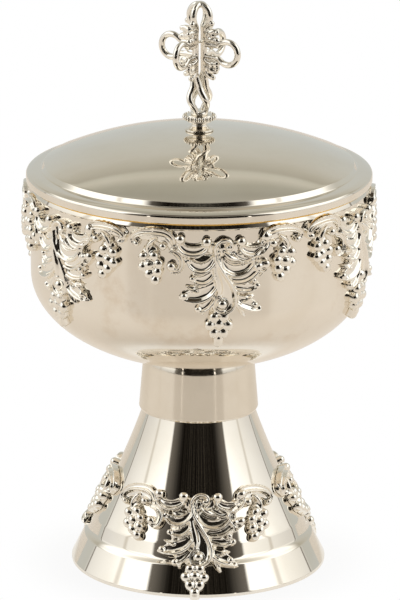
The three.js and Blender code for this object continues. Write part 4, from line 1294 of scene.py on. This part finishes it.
def cross_parts():
    """The rods, berries and seat that are cast together."""
    lines = []
    balls = []
    outline = dense(cross_line(), rod_step, rod_rounds)
    angles = [2 * math.pi * i / ring_steps for i in range(ring_steps + 1)]
    for turn in (cross_turn, cross_turn + 90):
        lines.append([arm_rod(turn, out, up) for out, up in outline])
        lines.append([(*upright(turn, out, bar_height), thin_wire) for out in (-rod_gap, 0, rod_gap)])
        for side in (-rod_gap, rod_gap):
            lines.append([
                (*upright(turn, side, up), rod_radius) for up in (-crossing_reach, 0, crossing_reach)
            ])
        for side in (-1, 1):
            for sprig in lower_sprig + upper_sprig:
                lines.append([(*upright(turn, side * out, up), radius) for out, up, radius in sprig])
            for out, up, radius in sprig_rings:
                spots = [(out + radius * math.cos(a), up + radius * math.sin(a)) for a in angles]
                lines.append([(*upright(turn, side * across, level), thin_wire) for across, level in spots])
            for out, up, radius in sprig_berries:
                balls.append((*upright(turn, side * out, up), radius))
    lines += [bulb_line(cross_turn + 90 * i) for i in range(4)]
    rods = grow("rods", solid_lines_mesh("rods", lines), make_rod_tree(), {"Step": rod_step})
    points = solid_lines_mesh("berries", [[ball] for ball in balls])
    berries = grow("berries", points, ball_tree, {"Segments": 20})
    seat_outline = rounded([
        (0, cross_seat + bulb_seat_step),
        (finial_hole_radius, cross_seat + bulb_seat_step),
        (finial_hole_radius, cross_seat),
        (bulb_seat_radius, cross_seat, 0.2),
        (bulb_seat_radius, cross_seat + bulb_seat_step, 0.4),
        (bulb_seat_radius - 0.6, cross_seat + bulb_seat_height, 0.5),
        (0, cross_seat + bulb_seat_height),
    ])
    seat = turn_piece("seat", seat_outline, cast_silver, narrow_steps)
    seat.data.transform(Matrix.Scale(1 / mm, 4))
    return [rods, berries, seat]


cross = fused("cross", joined("cross", cross_parts()), cross_voxel, cross_spread, vine_silver)
cross.data.transform(Matrix.Scale(mm, 4))
cross.name = "cast_cross"
dress(cross, "lid", "cast_silver", "finial_cross")

# Fastenings
# A steel tie stud under the liner holds cup, collar and foot together, with a washer and a nut
# inside the foot. A thinner stud holds the cross, with its washer and nut inside the lid.
tie_radius = 3.0
tie_pitch = 1.0
tie_tail = 49.3
washer_top = foot_height - foot_wall
washer_height = 1.2
foot_washer_radius = 12
foot_nut_height = 5
foot_nut_flats = 10
cross_stud_radius = 1.5
cross_stud_pitch = 0.5
cross_stud_tail = 159.5
cross_stud_head = 173.0
lid_washer_top = dome_top - lid_wall
lid_washer_height = 1.0
lid_washer_radius = 6
lid_nut_height = 3.2
lid_nut_flats = 7
nut_play = 0.05
thread_rows = 8  # to a turn
thread_depth = 0.3  # out of its pitch
stud_chamfer = 0.2
slope_steps = 6

steel = silver("turned steel", (0.62, 0.61, 0.59), (0.53, 0.52, 0.50), 0.20, 0.36, 0.6)


def reshape(piece, rule):
    """Moves a turned piece's points in or out by a rule of their angle, height and radius."""
    mesh = piece.data
    spots = np.empty(len(mesh.vertices) * 3)
    mesh.vertices.foreach_get("co", spots)
    spots = spots.reshape(-1, 3) / mm
    radius = np.maximum(np.hypot(spots[:, 0], spots[:, 1]), 1e-6)
    angle = np.arctan2(spots[:, 1], spots[:, 0])
    spots[:, :2] *= (rule(angle, spots[:, 2], radius) / radius)[:, None]
    mesh.vertices.foreach_set("co", (spots * mm).ravel())
    mesh.update()
    mesh.set_sharp_from_angle(angle=math.radians(30))


def stud(name, radius, pitch, tail, threaded_to, head):
    """A turned stud with a cut thread on its tail; head lists the outline above the shank."""
    rows = int((threaded_to - tail) / (pitch / thread_rows))
    shank = [(radius, tail + 0.4 * radius + i * pitch / thread_rows) for i in range(rows)]
    piece = turn_piece(name, [(0, tail), (0.75 * radius, tail), *shank, *head], steel, narrow_steps)

    def thread(angle, height, reach):
        wave = 0.5 - 0.5 * np.cos(2 * math.pi * height / pitch - angle)
        cut = (height < threaded_to) & (reach > 0.9 * radius) & (reach < 1.1 * radius)
        return np.where(cut, reach - thread_depth * pitch * wave, reach)

    reshape(piece, thread)
    return piece


def washer(name, hole, radius, low, height):
    """A flat washer with broken edges."""
    high = low + height
    outline = rounded([(hole, low, 0.15), (radius, low, 0.2), (radius, high, 0.2), (hole, high, 0.15)])
    return turn_piece(name, outline, steel, narrow_steps)


def nut(name, hole, flats, low, height):
    """A six-sided nut with chamfered corners."""
    inner = flats / 2
    corner = inner / math.cos(math.pi / 6)
    chamfer = (corner - inner) * 0.6
    shares = [i / slope_steps for i in range(slope_steps + 1)]
    slope = [(inner - 0.1 + share * (corner - inner + 0.1), share * chamfer) for share in shares]
    outline = [(hole, low)]
    outline += [(radius, low + rise) for radius, rise in slope]
    outline += [(radius, low + height - rise) for radius, rise in reversed(slope)]
    outline.append((hole, low + height))
    piece = turn_piece(name, outline, steel, narrow_steps)

    def six_sides(angle, height, reach):
        flat = inner / np.cos(np.mod(angle, math.pi / 3) - math.pi / 6)
        return np.where(reach > hole + 0.2, np.minimum(reach, flat), reach)

    reshape(piece, six_sides)
    return piece


flange_low = cup_seat + shell_wall
tie_head = [
    (tie_radius, flange_low),
    (stud_flange_radius - stud_chamfer, flange_low),
    (stud_flange_radius, flange_low + stud_chamfer),
    (stud_flange_radius, flange_low + stud_flange_height - stud_chamfer),
    (stud_flange_radius - stud_chamfer, flange_low + stud_flange_height),
    (0, flange_low + stud_flange_height),
]
tie = stud("steel_tie_stud", tie_radius, tie_pitch, tie_tail, washer_top, tie_head)
dress(tie, "vessel", "steel", "tie_stud")
washer_low = washer_top - washer_height
foot_washer = washer("steel_foot_washer", stud_hole_radius, foot_washer_radius, washer_low, washer_height)
dress(foot_washer, "vessel", "steel", "foot_washer")
foot_nut_low = washer_low - foot_nut_height
foot_nut = nut("steel_foot_nut", tie_radius + nut_play, foot_nut_flats, foot_nut_low, foot_nut_height)
dress(foot_nut, "vessel", "steel", "foot_nut")

cross_head = [
    (cross_stud_radius, cross_stud_head - stud_chamfer),
    (cross_stud_radius - stud_chamfer, cross_stud_head),
    (0, cross_stud_head),
]
cross_stud = stud(
    "steel_cross_stud", cross_stud_radius, cross_stud_pitch, cross_stud_tail, lid_washer_top, cross_head
)
dress(cross_stud, "lid", "steel", "finial_stud")
lid_washer_low = lid_washer_top - lid_washer_height
lid_washer = washer(
    "steel_lid_washer", finial_hole_radius, lid_washer_radius, lid_washer_low, lid_washer_height
)
dress(lid_washer, "lid", "steel", "finial_washer")
lid_nut_low = lid_washer_low - lid_nut_height
lid_nut = nut("steel_lid_nut", cross_stud_radius + nut_play, lid_nut_flats, lid_nut_low, lid_nut_height)
dress(lid_nut, "lid", "steel", "finial_nut")
